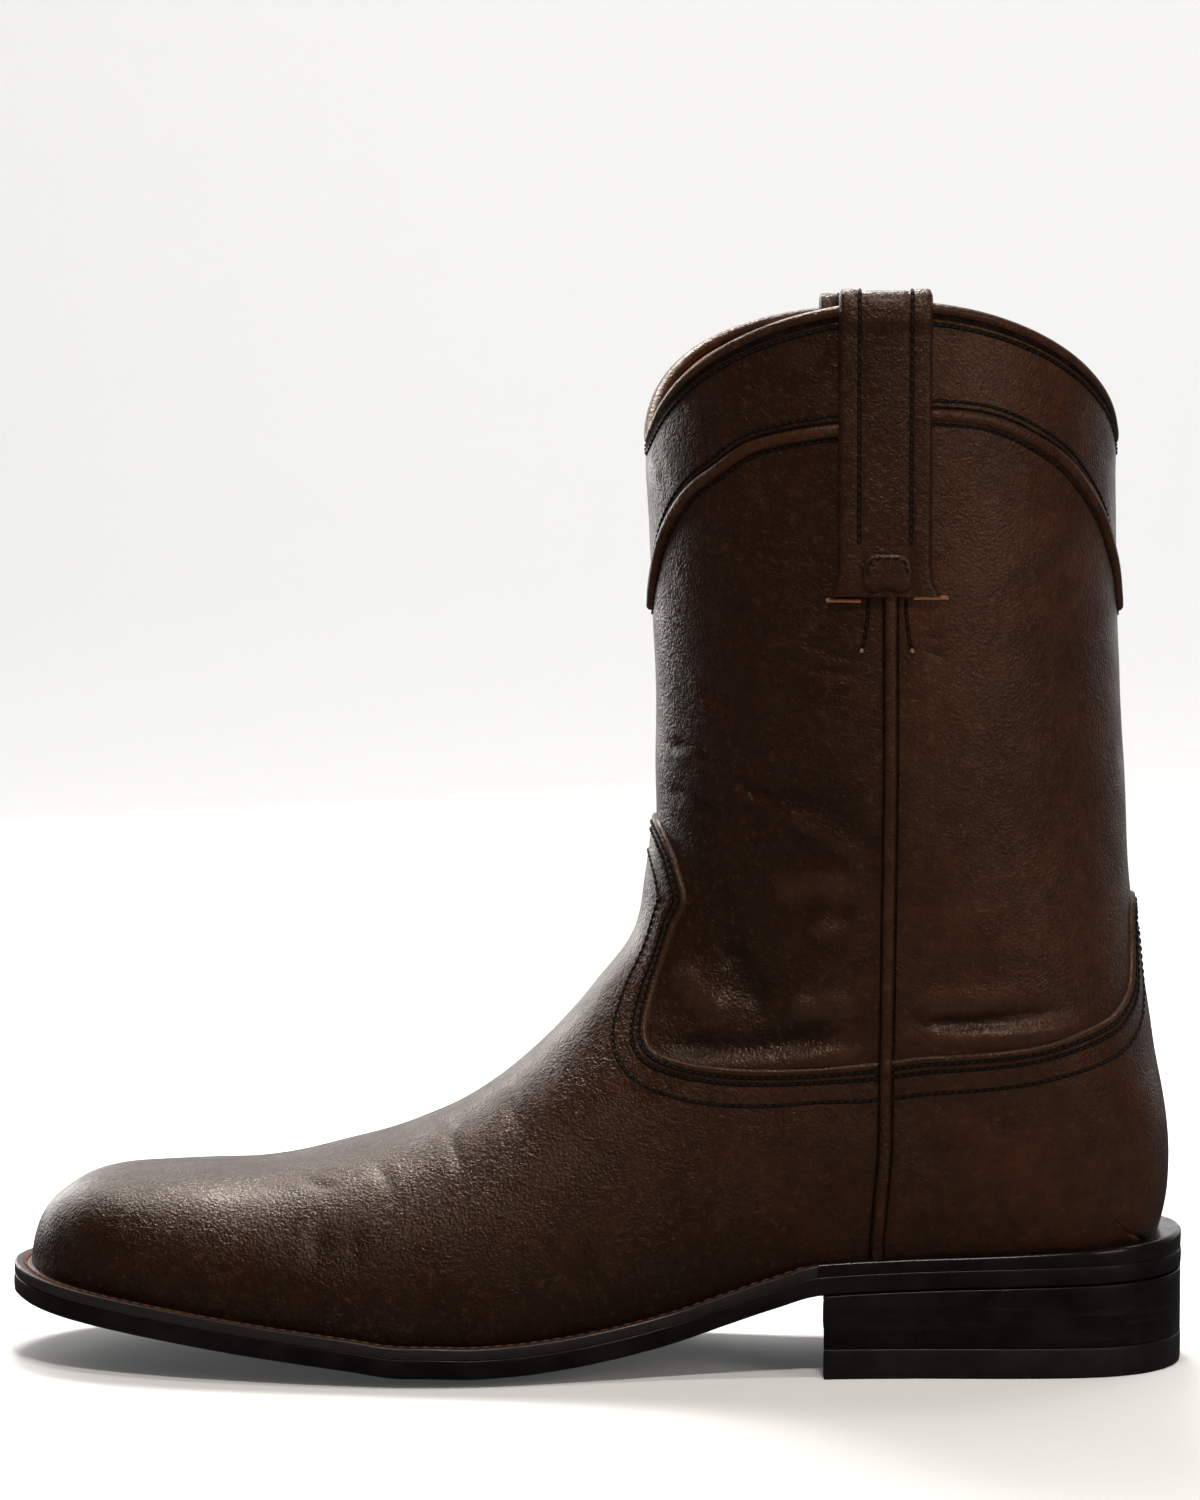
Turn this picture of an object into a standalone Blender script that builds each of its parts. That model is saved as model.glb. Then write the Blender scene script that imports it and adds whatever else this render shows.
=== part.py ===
# A roper boot for the left foot, standing on its sole.
#
# The toe points along -X and the outside of the foot faces -Y. The origin is the middle of the
# heel's underside, on the floor. Lengths are metres.
#
# The lasted shape is one form: a fan of sections that stand upright across the toe, lean back over
# the instep and lie level in the shaft. "Along" is a distance from the back of the outsole towards
# the toe, and "up" is a height above the floor.

import math
from collections import namedtuple

import bmesh
import bpy
import numpy as np
from mathutils import Vector
from mathutils.bvhtree import BVHTree

# Foot and shaft
LAST_LENGTH = 0.2976
BALL_WIDTH = 0.0925
ANKLE_WIDTH = 0.0780
INSTEP_HEIGHT = 0.1000
SHAFT_WIDTH = 0.1060
SHAFT_DEPTH = 0.1212
SHAFT_HEIGHT = 0.2452
BACK_LEAN = 0.0132
COLLAR_DIP = 0.0450
COLLAR_ROUNDING = 0.10
COLLAR_FULLNESS = 0.65
WALL = 0.0022
OVERLAY_STEP = 0.0011

# Bottom. The crown's start and end are shares of the ball's width, out from the middle.
OUTSOLE_THICKNESS = 0.0050
WELT_THICKNESS = 0.0032
WELT_WIDTH = 0.0064
INSOLE_THICKNESS = 0.0030
HEEL_LENGTH = 0.0950
HEEL_HEIGHT = 0.0218
SEAT_PITCH = 0.0030
CAP_THICKNESS = 0.0080
BREAST_HOLLOW = 0.0030
TOE_SPRING = 0.0166
FLAT_SPOT = 0.0140
CROWN = 0.0024
CROWN_START = 0.21
CROWN_END = 0.57

# Trim
BINDING_THICKNESS = 0.0030
PIPING_WIDTH = 0.0033
PIPING_HEIGHT = 0.0017
STRAP_WIDTH = 0.0240
STRAP_THICKNESS = 0.0026
STRAP_DROP = 0.0712
STRAP_INSIDE_DROP = 0.0600
STRAP_LOOP = 0.0018

# Clearance between pieces that touch on the real boot
GAP = 0.0003
CURVED_GAP = 0.0005

# How finely the forms are divided
HALF_RING = 18
EDGE_POINTS = 40
RIM_POINTS = 56
SOLE_STATIONS = 42
INSOLE_STATIONS = 26

# Sections from the toe to the instep. The crest is placed as a share of the way from the shaft's
# front to the toe, its height as a share of the instep's above the sole; the keel is a share of the
# last's length, and its drop below the sole a share of the instep's. Widths are shares of the ball's.
Section = namedtuple("Section", "crest rise keel drop lateral medial widest low high")
FOOT = (
    Section(1.000, 0.035, 1.000, -0.035, 0.000, 0.000, 0.50, 2.2, 2.2),
    Section(0.983, 0.158, 0.994, 0.078, 0.132, 0.153, 0.47, 2.3, 2.3),
    Section(0.942, 0.241, 0.970, 0.111, 0.252, 0.288, 0.44, 2.4, 2.4),
    Section(0.877, 0.301, 0.932, 0.111, 0.344, 0.387, 0.42, 2.5, 2.5),
    Section(0.752, 0.353, 0.863, 0.116, 0.430, 0.462, 0.41, 2.5, 2.5),
    Section(0.616, 0.400, 0.792, 0.117, 0.480, 0.497, 0.40, 2.5, 2.4),
    Section(0.499, 0.467, 0.725, 0.120, 0.512, 0.496, 0.39, 2.5, 2.3),
    Section(0.387, 0.548, 0.658, 0.120, 0.526, 0.474, 0.38, 2.6, 2.2),
    Section(0.275, 0.638, 0.581, 0.117, 0.518, 0.440, 0.38, 2.6, 2.1),
    Section(0.174, 0.755, 0.493, 0.107, 0.490, 0.405, 0.40, 2.6, 2.0),
    Section(0.085, 0.891, 0.396, 0.118, 0.452, 0.390, 0.43, 2.6, 2.0),
)
# Sections from the instep down to the heel's seat. Crests are shares of the shaft's depth and of
# the way from the throat to the collar; widths are shares of the ankle's.
REAR = (
    Section(1.033, -0.005, 0.295, 0.129, 0.515, 0.470, 0.47, 2.6, 2.0),
    Section(1.007, 0.084, 0.191, 0.108, 0.505, 0.488, 0.52, 2.75, 2.0),
    Section(0.992, 0.176, 0.093, 0.103, 0.517, 0.508, 0.56, 2.75, 2.0),
    Section(0.993, 0.261, 0.030, 0.044, 0.545, 0.540, 0.57, 2.7, 2.0),
)
# Sections whose keel climbs the back of the boot: keel is a share of the back's lean, and drop is
# a share of the shaft's height above the seat. Widths are shares of the shaft's.
SHAFT = (
    Section(0.992, 0.340, 0.091, 0.042, 0.424, 0.420, 0.56, 2.5, 2.0),
    Section(0.993, 0.413, 0.000, 0.122, 0.447, 0.444, 0.54, 2.3, 2.0),
    Section(0.999, 0.509, 0.333, 0.234, 0.470, 0.468, 0.52, 2.1, 2.0),
    Section(1.007, 0.631, 0.667, 0.363, 0.487, 0.486, 0.51, 2.0, 2.0),
    Section(1.015, 0.746, 0.841, 0.525, 0.497, 0.497, 0.50, 2.0, 2.0),
    Section(1.013, 0.867, 1.000, 0.706, 0.500, 0.500, 0.50, 2.0, 2.0),
    Section(1.012, 1.085, 1.068, 1.056, 0.500, 0.500, 0.50, 2.0, 2.0),
)

# Underside of the outsole: the waist as a share of the way from breast to ball and of the heel's
# height, the toe as a share of the way from ball to tip and of the toe spring.
Rise = namedtuple("Rise", "place height")
WAIST_RISES = (Rise(0.14, 0.83), Rise(0.27, 0.64), Rise(0.41, 0.43), Rise(0.55, 0.27),
               Rise(0.70, 0.138), Rise(0.86, 0.041))
TOE_RISES = (Rise(0.14, 0.115), Rise(0.39, 0.335), Rise(0.60, 0.55), Rise(0.81, 0.78), Rise(1.0, 1.0))
BALL_PLACE = 0.633

# How far the sole's edge stands out from the upper, as shares of the welt's width, by place along
# the edge from the toe (0) to the back of the heel (1)
Margin = namedtuple("Margin", "place lateral medial")
MARGINS = (Margin(0.0, 0.90, 0.90), Margin(0.20, 0.98, 0.98), Margin(0.38, 1.05, 1.0),
           Margin(0.55, 0.70, 0.50), Margin(0.70, 0.64, 0.58), Margin(0.86, 0.78, 0.76),
           Margin(1.0, 1.36, 1.36))

# Edge of the vamp and counter in side view, as shares of the shaft's depth from its back and of
# the throat's height: from the tongue's peak to its wing, on to the side seam, and to the back's peak
Turn = namedtuple("Turn", "along up")
TONGUE_EDGE = (Turn(0.998, 1.272), Turn(0.968, 1.180), Turn(0.933, 1.083))
VAMP_EDGE = (Turn(0.933, 1.083), Turn(0.972, 0.960), Turn(1.018, 0.826), Turn(1.031, 0.775),
             Turn(1.013, 0.733), Turn(0.934, 0.713), Turn(0.808, 0.703), Turn(0.708, 0.704),
             Turn(0.609, 0.713), Turn(0.505, 0.729))
COUNTER_EDGE = (Turn(0.505, 0.729), Turn(0.433, 0.752), Turn(0.317, 0.763), Turn(0.211, 0.775),
                Turn(0.104, 0.802), Turn(0.022, 0.832), Turn(-0.024, 0.886), Turn(-0.033, 0.955),
                Turn(-0.034, 1.055), Turn(-0.044, 1.096))
SIDE_SEAM = 0.498

# Yoke's scallop: degrees round from its middle, and height as a share of the collar's dip below
# the middle of that side's collar
Scallop = namedtuple("Scallop", "degrees height")
YOKE_FRONT = (Scallop(0, 0.70), Scallop(10, 0.52), Scallop(20, 0.25), Scallop(30, 0.04),
              Scallop(42, -0.12), Scallop(55, -0.27), Scallop(68, -0.32), Scallop(80, -0.35))
YOKE_BACK = (Scallop(0, 0.70), Scallop(10, 0.46), Scallop(20, 0.18), Scallop(30, -0.03),
             Scallop(42, -0.22), Scallop(55, -0.35), Scallop(68, -0.42), Scallop(80, -0.43))

# A raised seam in section: across as a share of its width, and out as a share of its height
BEAD_PROFILE = ((-0.5, 0.0), (0.5, 0.0), (0.5, 0.45), (0.27, 1.0), (-0.27, 1.0), (-0.5, 0.45))
# A welt in section and a rand's rounded bead: in from the outer edge as a share of the width, and
# up as a share of the height
SQUARE_BAND = ((1.0, 0.0), (0.0, 0.0), (0.0, 1.0), (1.0, 1.0))
ROUND_BAND = ((1.0, 0.0), (0.06, 0.0), (0.0, 0.18), (0.0, 0.62), (0.10, 0.88), (0.32, 1.0), (1.0, 1.0))

LEATHER = (0.050, 0.024, 0.015)

SETBACK = MARGINS[0].lateral * WELT_WIDTH
SOLE_LENGTH = LAST_LENGTH + 2 * SETBACK
SHAFT_BACK = SETBACK + BACK_LEAN
SHAFT_FRONT = SHAFT_BACK + SHAFT_DEPTH
SHAFT_MIDDLE = SHAFT_BACK + SHAFT_DEPTH / 2
SEAT_UP = HEEL_HEIGHT + SEAT_PITCH + OUTSOLE_THICKNESS
COLLAR_UP = SEAT_UP + SHAFT_HEIGHT


def spline(rows, places):
    """Read a Catmull-Rom curve through the rows at the given row numbers."""
    rows = np.asarray(rows, dtype=float)
    padded = np.vstack([2 * rows[0] - rows[1], rows, 2 * rows[-1] - rows[-2]])
    start = np.clip(np.floor(places).astype(int), 0, len(rows) - 2)
    t = (places - start)[:, None]
    a, b, c, d = (padded[start + i] for i in range(4))
    return 0.5 * (2 * b + (c - a) * t + (2 * a - 5 * b + 4 * c - d) * t ** 2
                  + (3 * b - a - 3 * c + d) * t ** 3)


def monotone(places, heights, at):
    """Read a smooth curve that never overshoots its points."""
    places, heights = np.asarray(places), np.asarray(heights)
    step = np.diff(places)
    slope = np.diff(heights) / step
    tangent = np.zeros(len(places))
    both = slope[:-1] + slope[1:]
    tangent[1:-1] = np.where(slope[:-1] * slope[1:] > 0,
                             2 * slope[:-1] * slope[1:] / np.where(both == 0, 1, both), 0)
    tangent[0], tangent[-1] = slope[0], slope[-1]
    i = np.clip(np.searchsorted(places, at) - 1, 0, len(step) - 1)
    t = (at - places[i]) / step[i]
    return (heights[i] * (1 + 2 * t) * (1 - t) ** 2 + tangent[i] * step[i] * t * (1 - t) ** 2
            + heights[i + 1] * t ** 2 * (3 - 2 * t) + tangent[i + 1] * step[i] * t ** 2 * (t - 1))


def sole_table():
    """Heights of the outsole's underside, from the back of the heel to the tip of the toe."""
    breast, ball = HEEL_LENGTH, BALL_PLACE * SOLE_LENGTH
    flat = (ball - FLAT_SPOT / 2, ball + FLAT_SPOT / 2)
    table = [(0.0, HEEL_HEIGHT + SEAT_PITCH), (breast, HEEL_HEIGHT)]
    table += [(breast + row.place * (flat[0] - breast), row.height * HEEL_HEIGHT) for row in WAIST_RISES]
    table += [(flat[0], 0.0), (flat[1], 0.0)]
    table += [(flat[1] + row.place * (SOLE_LENGTH - flat[1]), row.height * TOE_SPRING) for row in TOE_RISES]
    return np.array(table)


def sole_bottom(along, side=0.0):
    """Height of the outsole's underside. The forefoot is crowned, so its edges lift a little."""
    along, side = np.asarray(along, dtype=float), np.asarray(side, dtype=float)
    level = monotone(SOLE_TABLE[:, 0], SOLE_TABLE[:, 1], along)
    forefoot = np.clip((along - HEEL_LENGTH) / (BALL_PLACE * SOLE_LENGTH - HEEL_LENGTH), 0, 1)
    edge = np.clip((np.abs(side) / BALL_WIDTH - CROWN_START) / (CROWN_END - CROWN_START), 0, 1.3)
    return level + CROWN * forefoot * edge ** 2


def sole_top(along, side=0.0):
    return sole_bottom(along, side) + OUTSOLE_THICKNESS


SOLE_TABLE = sole_table()
THROAT_UP = float(sole_top(SHAFT_FRONT)) + INSTEP_HEIGHT


def place(along, side, up):
    """Turn a distance along the foot, a sideways distance and a height into a point."""
    return (HEEL_LENGTH / 2 - along, side, up)


def section_rows():
    """Sections as lengths: crest and keel in side view, half-widths, widest place and fullness."""
    rows = []
    tip = SETBACK + LAST_LENGTH
    for s in FOOT:
        crest = SHAFT_FRONT + s.crest * (tip - SHAFT_FRONT)
        keel = SETBACK + s.keel * LAST_LENGTH
        rows.append((crest, sole_top(crest) + s.rise * INSTEP_HEIGHT,
                     keel, sole_top(keel) - s.drop * INSTEP_HEIGHT,
                     s.lateral * BALL_WIDTH, s.medial * BALL_WIDTH, s.widest, s.low, s.high))
    for s in REAR:
        keel = SETBACK + s.keel * LAST_LENGTH
        rows.append((SHAFT_BACK + s.crest * SHAFT_DEPTH, THROAT_UP + s.rise * (COLLAR_UP - THROAT_UP),
                     keel, sole_top(keel) - s.drop * INSTEP_HEIGHT,
                     s.lateral * ANKLE_WIDTH, s.medial * ANKLE_WIDTH, s.widest, s.low, s.high))
    for s in SHAFT:
        rows.append((SHAFT_BACK + s.crest * SHAFT_DEPTH, THROAT_UP + s.rise * (COLLAR_UP - THROAT_UP),
                     SETBACK + s.keel * BACK_LEAN, SEAT_UP + s.drop * SHAFT_HEIGHT,
                     s.lateral * SHAFT_WIDTH, s.medial * SHAFT_WIDTH, s.widest, s.low, s.high))
    return np.array(rows, dtype=float)


def fan(places):
    """Sections at the given row numbers, rounded over at the tip of the toe."""
    rows = section_rows()
    mirror = rows[1].copy()
    mirror[0:4] = rows[1][[2, 3, 0, 1]]
    mirror[4:6] = -rows[1][4:6]
    return spline(np.vstack([mirror, rows]), np.asarray(places, dtype=float) + 1)


def ring(section, count):
    """Points round one section: keel, outside, crest, inside and back to the keel."""
    crest, keel = section[0:2], section[2:4]
    lateral, medial, widest, low, high = section[4:9]
    points = []
    for i in range(2 * count):
        turn = -math.pi / 2 + math.pi * i / count
        lift, out = math.sin(turn), math.cos(turn)
        full = low if lift < 0 else high
        room = widest if lift < 0 else 1 - widest
        share = widest + room * math.copysign(abs(lift) ** (2 / full), lift)
        width = abs(out) ** (2 / full) * (lateral if i <= count else medial)
        along, up = keel + share * (crest - keel)
        points.append(place(along, -width if i < count else width, up))
    return points


def loft(name, rings, closed_ends=(True, True), pole=None):
    """A skin over rings of equal length, with an optional point before the first ring."""
    mesh = bpy.data.meshes.new(name)
    bm = bmesh.new()
    rows = [[bm.verts.new(p) for p in row] for row in rings]
    count = len(rows[0])
    for low, high in zip(rows, rows[1:]):
        for i in range(count):
            j = (i + 1) % count
            bm.faces.new((low[i], low[j], high[j], high[i]))
    if pole is not None:
        tip = bm.verts.new(pole)
        for i in range(count):
            bm.faces.new((tip, rows[0][(i + 1) % count], rows[0][i]))
    elif closed_ends[0]:
        bm.faces.new(reversed(rows[0]))
    if closed_ends[1]:
        bm.faces.new(rows[-1])
    bmesh.ops.recalc_face_normals(bm, faces=bm.faces)
    bm.to_mesh(mesh)
    bm.free()
    return mesh


def last_mesh(name, closed):
    """The lasted form as an open sock, or as a closed solid."""
    foot = len(FOOT) + len(REAR)
    places = np.concatenate([[0.25], np.arange(0.5, foot, 0.5), np.arange(foot, foot + len(SHAFT))])
    sections = fan(places)
    tip = fan(np.array([0.0]))[0]
    return loft(name, [ring(s, HALF_RING) for s in sections], (False, closed), place(tip[0], 0, tip[1]))


def material(name, colour, roughness, metallic=0.0):
    mat = bpy.data.materials.new(name)
    mat.use_nodes = True
    shader = mat.node_tree.nodes["Principled BSDF"]
    shader.inputs["Base Color"].default_value = (*colour, 1.0)
    shader.inputs["Roughness"].default_value = roughness
    shader.inputs["Metallic"].default_value = metallic
    mat.diffuse_color = (*colour, 1.0)
    return mat


def add_part(name, mesh, colour, roughness=0.5):
    obj = bpy.data.objects.new(name, mesh)
    PARTS.objects.link(obj)
    mesh.materials.append(material(name + "_finish", colour, roughness))
    mesh.shade_smooth()
    mesh.set_sharp_from_angle(angle=math.radians(35))
    return obj


def add_cutter(name, mesh):
    obj = bpy.data.objects.new(name, mesh)
    CUTTERS.objects.link(obj)
    obj.hide_render = True
    obj.display_type = "WIRE"
    return obj


def boolean(obj, other, operation):
    mod = obj.modifiers.new(operation.title() + " " + other.name, "BOOLEAN")
    mod.operation = operation
    mod.object = other
    mod.solver = "EXACT"


def thicken(obj, thickness, offset):
    """A wall on an open surface. Offset -1 lays it inside the surface, 1 outside."""
    mod = obj.modifiers.new("Wall", "SOLIDIFY")
    mod.thickness = thickness
    mod.offset = offset
    mod.use_even_offset = False


def prism(name, outline, half_width):
    """A side-view outline, given as along and up, carried right across the boot."""
    mesh = bpy.data.meshes.new(name)
    bm = bmesh.new()
    face = bm.faces.new([bm.verts.new(place(a, -half_width, u)) for a, u in outline])
    far = bmesh.ops.extrude_face_region(bm, geom=[face])["geom"]
    far_points = [v for v in far if isinstance(v, bmesh.types.BMVert)]
    bmesh.ops.translate(bm, vec=(0, 2 * half_width, 0), verts=far_points)
    bmesh.ops.recalc_face_normals(bm, faces=bm.faces)
    bm.to_mesh(mesh)
    bm.free()
    return mesh


def feather_line():
    """The edge where the upper meets the welt's top, lateral and medial, from toe to heel."""
    count = 400
    total = len(FOOT) + len(REAR) + len(SHAFT) - 1
    keels = fan(np.linspace(0, total, 4 * count))
    below = keels[:, 3] < sole_top(keels[:, 2]) + WELT_THICKNESS
    last = np.linspace(0, total, 4 * count)[np.nonzero(below)[0].max()]
    places = last * (1 - np.cos(np.linspace(0, math.pi, count))) / 2
    edges = []
    for column in (4, 5):
        points = []
        for s in fan(places):
            low, high = 0.0, 1.0
            for _ in range(40):
                share = (low + high) / 2
                along, up = s[2:4] + share * (s[0:2] - s[2:4])
                width = s[column] * fullness(s, share)
                if up < sole_top(along, width) + WELT_THICKNESS:
                    low = share
                else:
                    high = share
            points.append((along, width))
        points[0] = (points[0][0], 0.0)
        points[-1] = (points[-1][0], 0.0)
        edges.append(even(np.array(points), EDGE_POINTS))
    return edges


def fullness(section, share):
    """Half-width at a share of the way from keel to crest, as a share of the widest."""
    widest, low, high = section[6:9]
    if share < widest:
        return max(0.0, 1 - ((widest - share) / widest) ** low) ** (1 / low)
    return max(0.0, 1 - ((share - widest) / (1 - widest)) ** high) ** (1 / high)


def even(points, count):
    """The same line with evenly spaced points."""
    steps = np.hypot(*np.diff(points, axis=0).T)
    travel = np.concatenate([[0], np.cumsum(steps)])
    at = np.linspace(0, travel[-1], count)
    return np.column_stack([np.interp(at, travel, points[:, i]) for i in (0, 1)])


def stand_out(edge, distances):
    """Move an edge outward in plan by the distances given at its points."""
    whole = np.vstack([edge[1] * (1, -1), edge, edge[-2] * (1, -1)])
    run = whole[2:] - whole[:-2]
    run /= np.linalg.norm(run, axis=1)[:, None]
    outward = np.column_stack([run[:, 1], -run[:, 0]])
    moved = edge + outward * np.asarray(distances)[:, None]
    moved[0, 1] = moved[-1, 1] = 0.0
    return moved


def margins(column):
    """How far the sole stands out from the feather line at each of its points."""
    table = np.array(MARGINS)
    return WELT_WIDTH * monotone(table[:, 0], table[:, column], np.linspace(0, 1, EDGE_POINTS))


def half_width(edge, along):
    """Width of one side of an outline at a place along the foot."""
    return np.interp(along, edge[::-1, 0], edge[::-1, 1])


def stations(start, end, count):
    """Places along the foot, closer together towards each round end."""
    return end + (start - end) * (1 + np.cos(np.linspace(0, math.pi, count))) / 2


def sole_stations(sole_edges):
    """Stations of the whole sole, with one at each end of the ball's flat spot."""
    places = stations(sole_edges[0][0, 0], sole_edges[0][-1, 0], SOLE_STATIONS)
    for flat_end in (FLAT_SPOT / 2, -FLAT_SPOT / 2):
        target = BALL_PLACE * SOLE_LENGTH + flat_end
        places[np.abs(places - target).argmin()] = target
    return places


def plate(name, edges, places, low, high, hollow=0.0, across=6):
    """A sheet across an outline, between two heights given as functions of along and side."""
    shares = np.linspace(0, 1, across + 1)
    rings = []
    for i, along in enumerate(places):
        lateral, medial = (float(half_width(edge, along)) for edge in edges)
        if lateral + medial < 1e-4:
            lateral = medial = 2e-4
        side = -lateral + shares * (lateral + medial)
        bow = hollow * (1 - (2 * shares - 1) ** 2) if i == 0 else 0 * shares
        row = [place(a, s, float(low(a, s))) for a, s in zip(along - bow, side)]
        row += [place(a, s, float(high(a, s))) for a, s in zip((along - bow)[::-1], side[::-1])]
        rings.append(row)
    return loft(name, rings)


def strip(name, inner, outer, places, profile, low, high):
    """A band between two edges, from one side round an end of the foot to the other side."""
    rings = []
    for i in places:
        ring_points = []
        for inward, lift in profile:
            along, side = outer[i] + inward * (inner[i] - outer[i])
            bottom, top = float(low(along, side)), float(high(along, side))
            ring_points.append(place(along, side, bottom + lift * (top - bottom)))
        rings.append(ring_points)
    return loft(name, rings)


def round_trip(edges):
    """Lateral edge and medial edge as one line, with the lateral side's y negative."""
    lateral, medial = edges
    return np.vstack([lateral[::-1] * (1, -1), medial[1:]])


def collar_up(turn):
    """Height of the collar's rim at an angle round the shaft from its front."""
    rise = math.hypot(math.sin(turn), COLLAR_ROUNDING) / math.hypot(1, COLLAR_ROUNDING)
    return COLLAR_UP - COLLAR_DIP * (1 - rise ** COLLAR_FULLNESS)


def rim_line(tree):
    """Middle of the wall all round the collar's rim, with the way up its slope at each point."""
    turns = [2 * math.pi * i / RIM_POINTS for i in range(RIM_POINTS)]
    outside = [surface_from_axis(tree, turn, collar_up(turn))[0] for turn in turns]
    middle = []
    for i, point in enumerate(outside):
        run = outside[(i + 1) % RIM_POINTS] - outside[i - 1]
        out = run.cross(Vector((0, 0, 1))).normalized()
        middle.append((point - out * (WALL / 2), run.cross(out).normalized()))
    return [(point, rise * math.copysign(1, rise.z)) for point, rise in middle]


def collar_cutter(rim):
    """Everything above the rim: a lid that slopes with it, carried well past the shaft."""
    axis = Vector(place(SHAFT_MIDDLE, 0, 0))
    rings = []
    for reach, top in ((0.1, False), (1.0, False), (2.0, False), (2.0, True), (0.1, True)):
        row = []
        for point, _ in rim:
            out = (point - axis) * reach
            row.append((axis.x + out.x, out.y, COLLAR_UP + SHAFT_WIDTH if top else point.z))
        rings.append(row)
    return loft("above_collar", rings)


def edge_line(turns, steps):
    """Points of a side-view line given as shares of the shaft's depth and the throat's height."""
    rows = [(SHAFT_BACK + t.along * SHAFT_DEPTH, t.up * THROAT_UP) for t in turns]
    return spline(rows, np.linspace(0, len(rows) - 1, steps))


def overlay_outline():
    """Side view of the vamp and counter, carried past the boot in front, behind and below."""
    seam = np.vstack([edge_line(TONGUE_EDGE, 3), edge_line(VAMP_EDGE, 28)[1:],
                      edge_line(COUNTER_EDGE, 26)[1:]])
    front, back = SOLE_LENGTH + 0.05, -0.05
    return [(front, seam[0][1]), *map(tuple, seam), (back, seam[-1][1]), (back, -0.05), (front, -0.05)]


def bead(name, track):
    """A raised seam that lies on a track of points, outward vectors and vectors across."""
    rings = []
    for point, out, across in track:
        rings.append([point + across * (x * PIPING_WIDTH) + out * (CURVED_GAP + y * PIPING_HEIGHT)
                      for x, y in BEAD_PROFILE])
    return add_part(name, loft(name, rings), LEATHER)


def tracked(points):
    """Add to each surface point and normal the direction across the line through them."""
    track = []
    for i, (p, out) in enumerate(points):
        run = points[min(i + 1, len(points) - 1)][0] - points[max(i - 1, 0)][0]
        track.append((p, out, out.cross(run).normalized()))
    return track


def surface_from_axis(tree, turn, up, reach=0.3):
    """Where a level line from the shaft's axis leaves the surface, and the way out of it."""
    centre = Vector(place(SHAFT_MIDDLE, 0, up))
    ray = Vector((-math.cos(turn), -math.sin(turn), 0))
    point, normal, _, _ = tree.ray_cast(centre + ray * reach, -ray, reach)
    return point, normal


def surface_from_side(tree, along, up, side):
    """Where a line from one side meets the surface, and the way out of it."""
    start = Vector(place(along, side * 0.3, up))
    point, normal, _, _ = tree.ray_cast(start, Vector((0, -side, 0)), 0.6)
    return point, normal


def tree_of(mesh):
    bm = bmesh.new()
    bm.from_mesh(mesh)
    bmesh.ops.triangulate(bm, faces=bm.faces)
    tree = BVHTree.FromBMesh(bm)
    bm.free()
    return tree


def make_upper(sole_edges, rim):
    """The hollow upper: a wall on the lasted form with the vamp and counter standing proud of it."""
    upper = add_part("upper", last_mesh("upper", False), LEATHER, 0.38)
    thicken(upper, WALL, -1)

    overlay = add_cutter("vamp_and_counter", last_mesh("vamp_and_counter", False))
    thicken(overlay, OVERLAY_STEP + WALL / 2, (OVERLAY_STEP - WALL / 2) / (OVERLAY_STEP + WALL / 2))
    band = add_cutter("overlay_outline", prism("overlay_outline", overlay_outline(), BALL_WIDTH))
    boolean(overlay, band, "INTERSECT")
    boolean(upper, overlay, "UNION")

    places = sole_stations(sole_edges)
    ground = plate("below_feather", sole_edges, places, lambda a, s: -HEEL_LENGTH,
                   lambda a, s: sole_top(a, s) + GAP)
    boolean(upper, add_cutter("below_feather", ground), "DIFFERENCE")
    boolean(upper, add_cutter("above_collar", collar_cutter(rim)), "DIFFERENCE")


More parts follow.
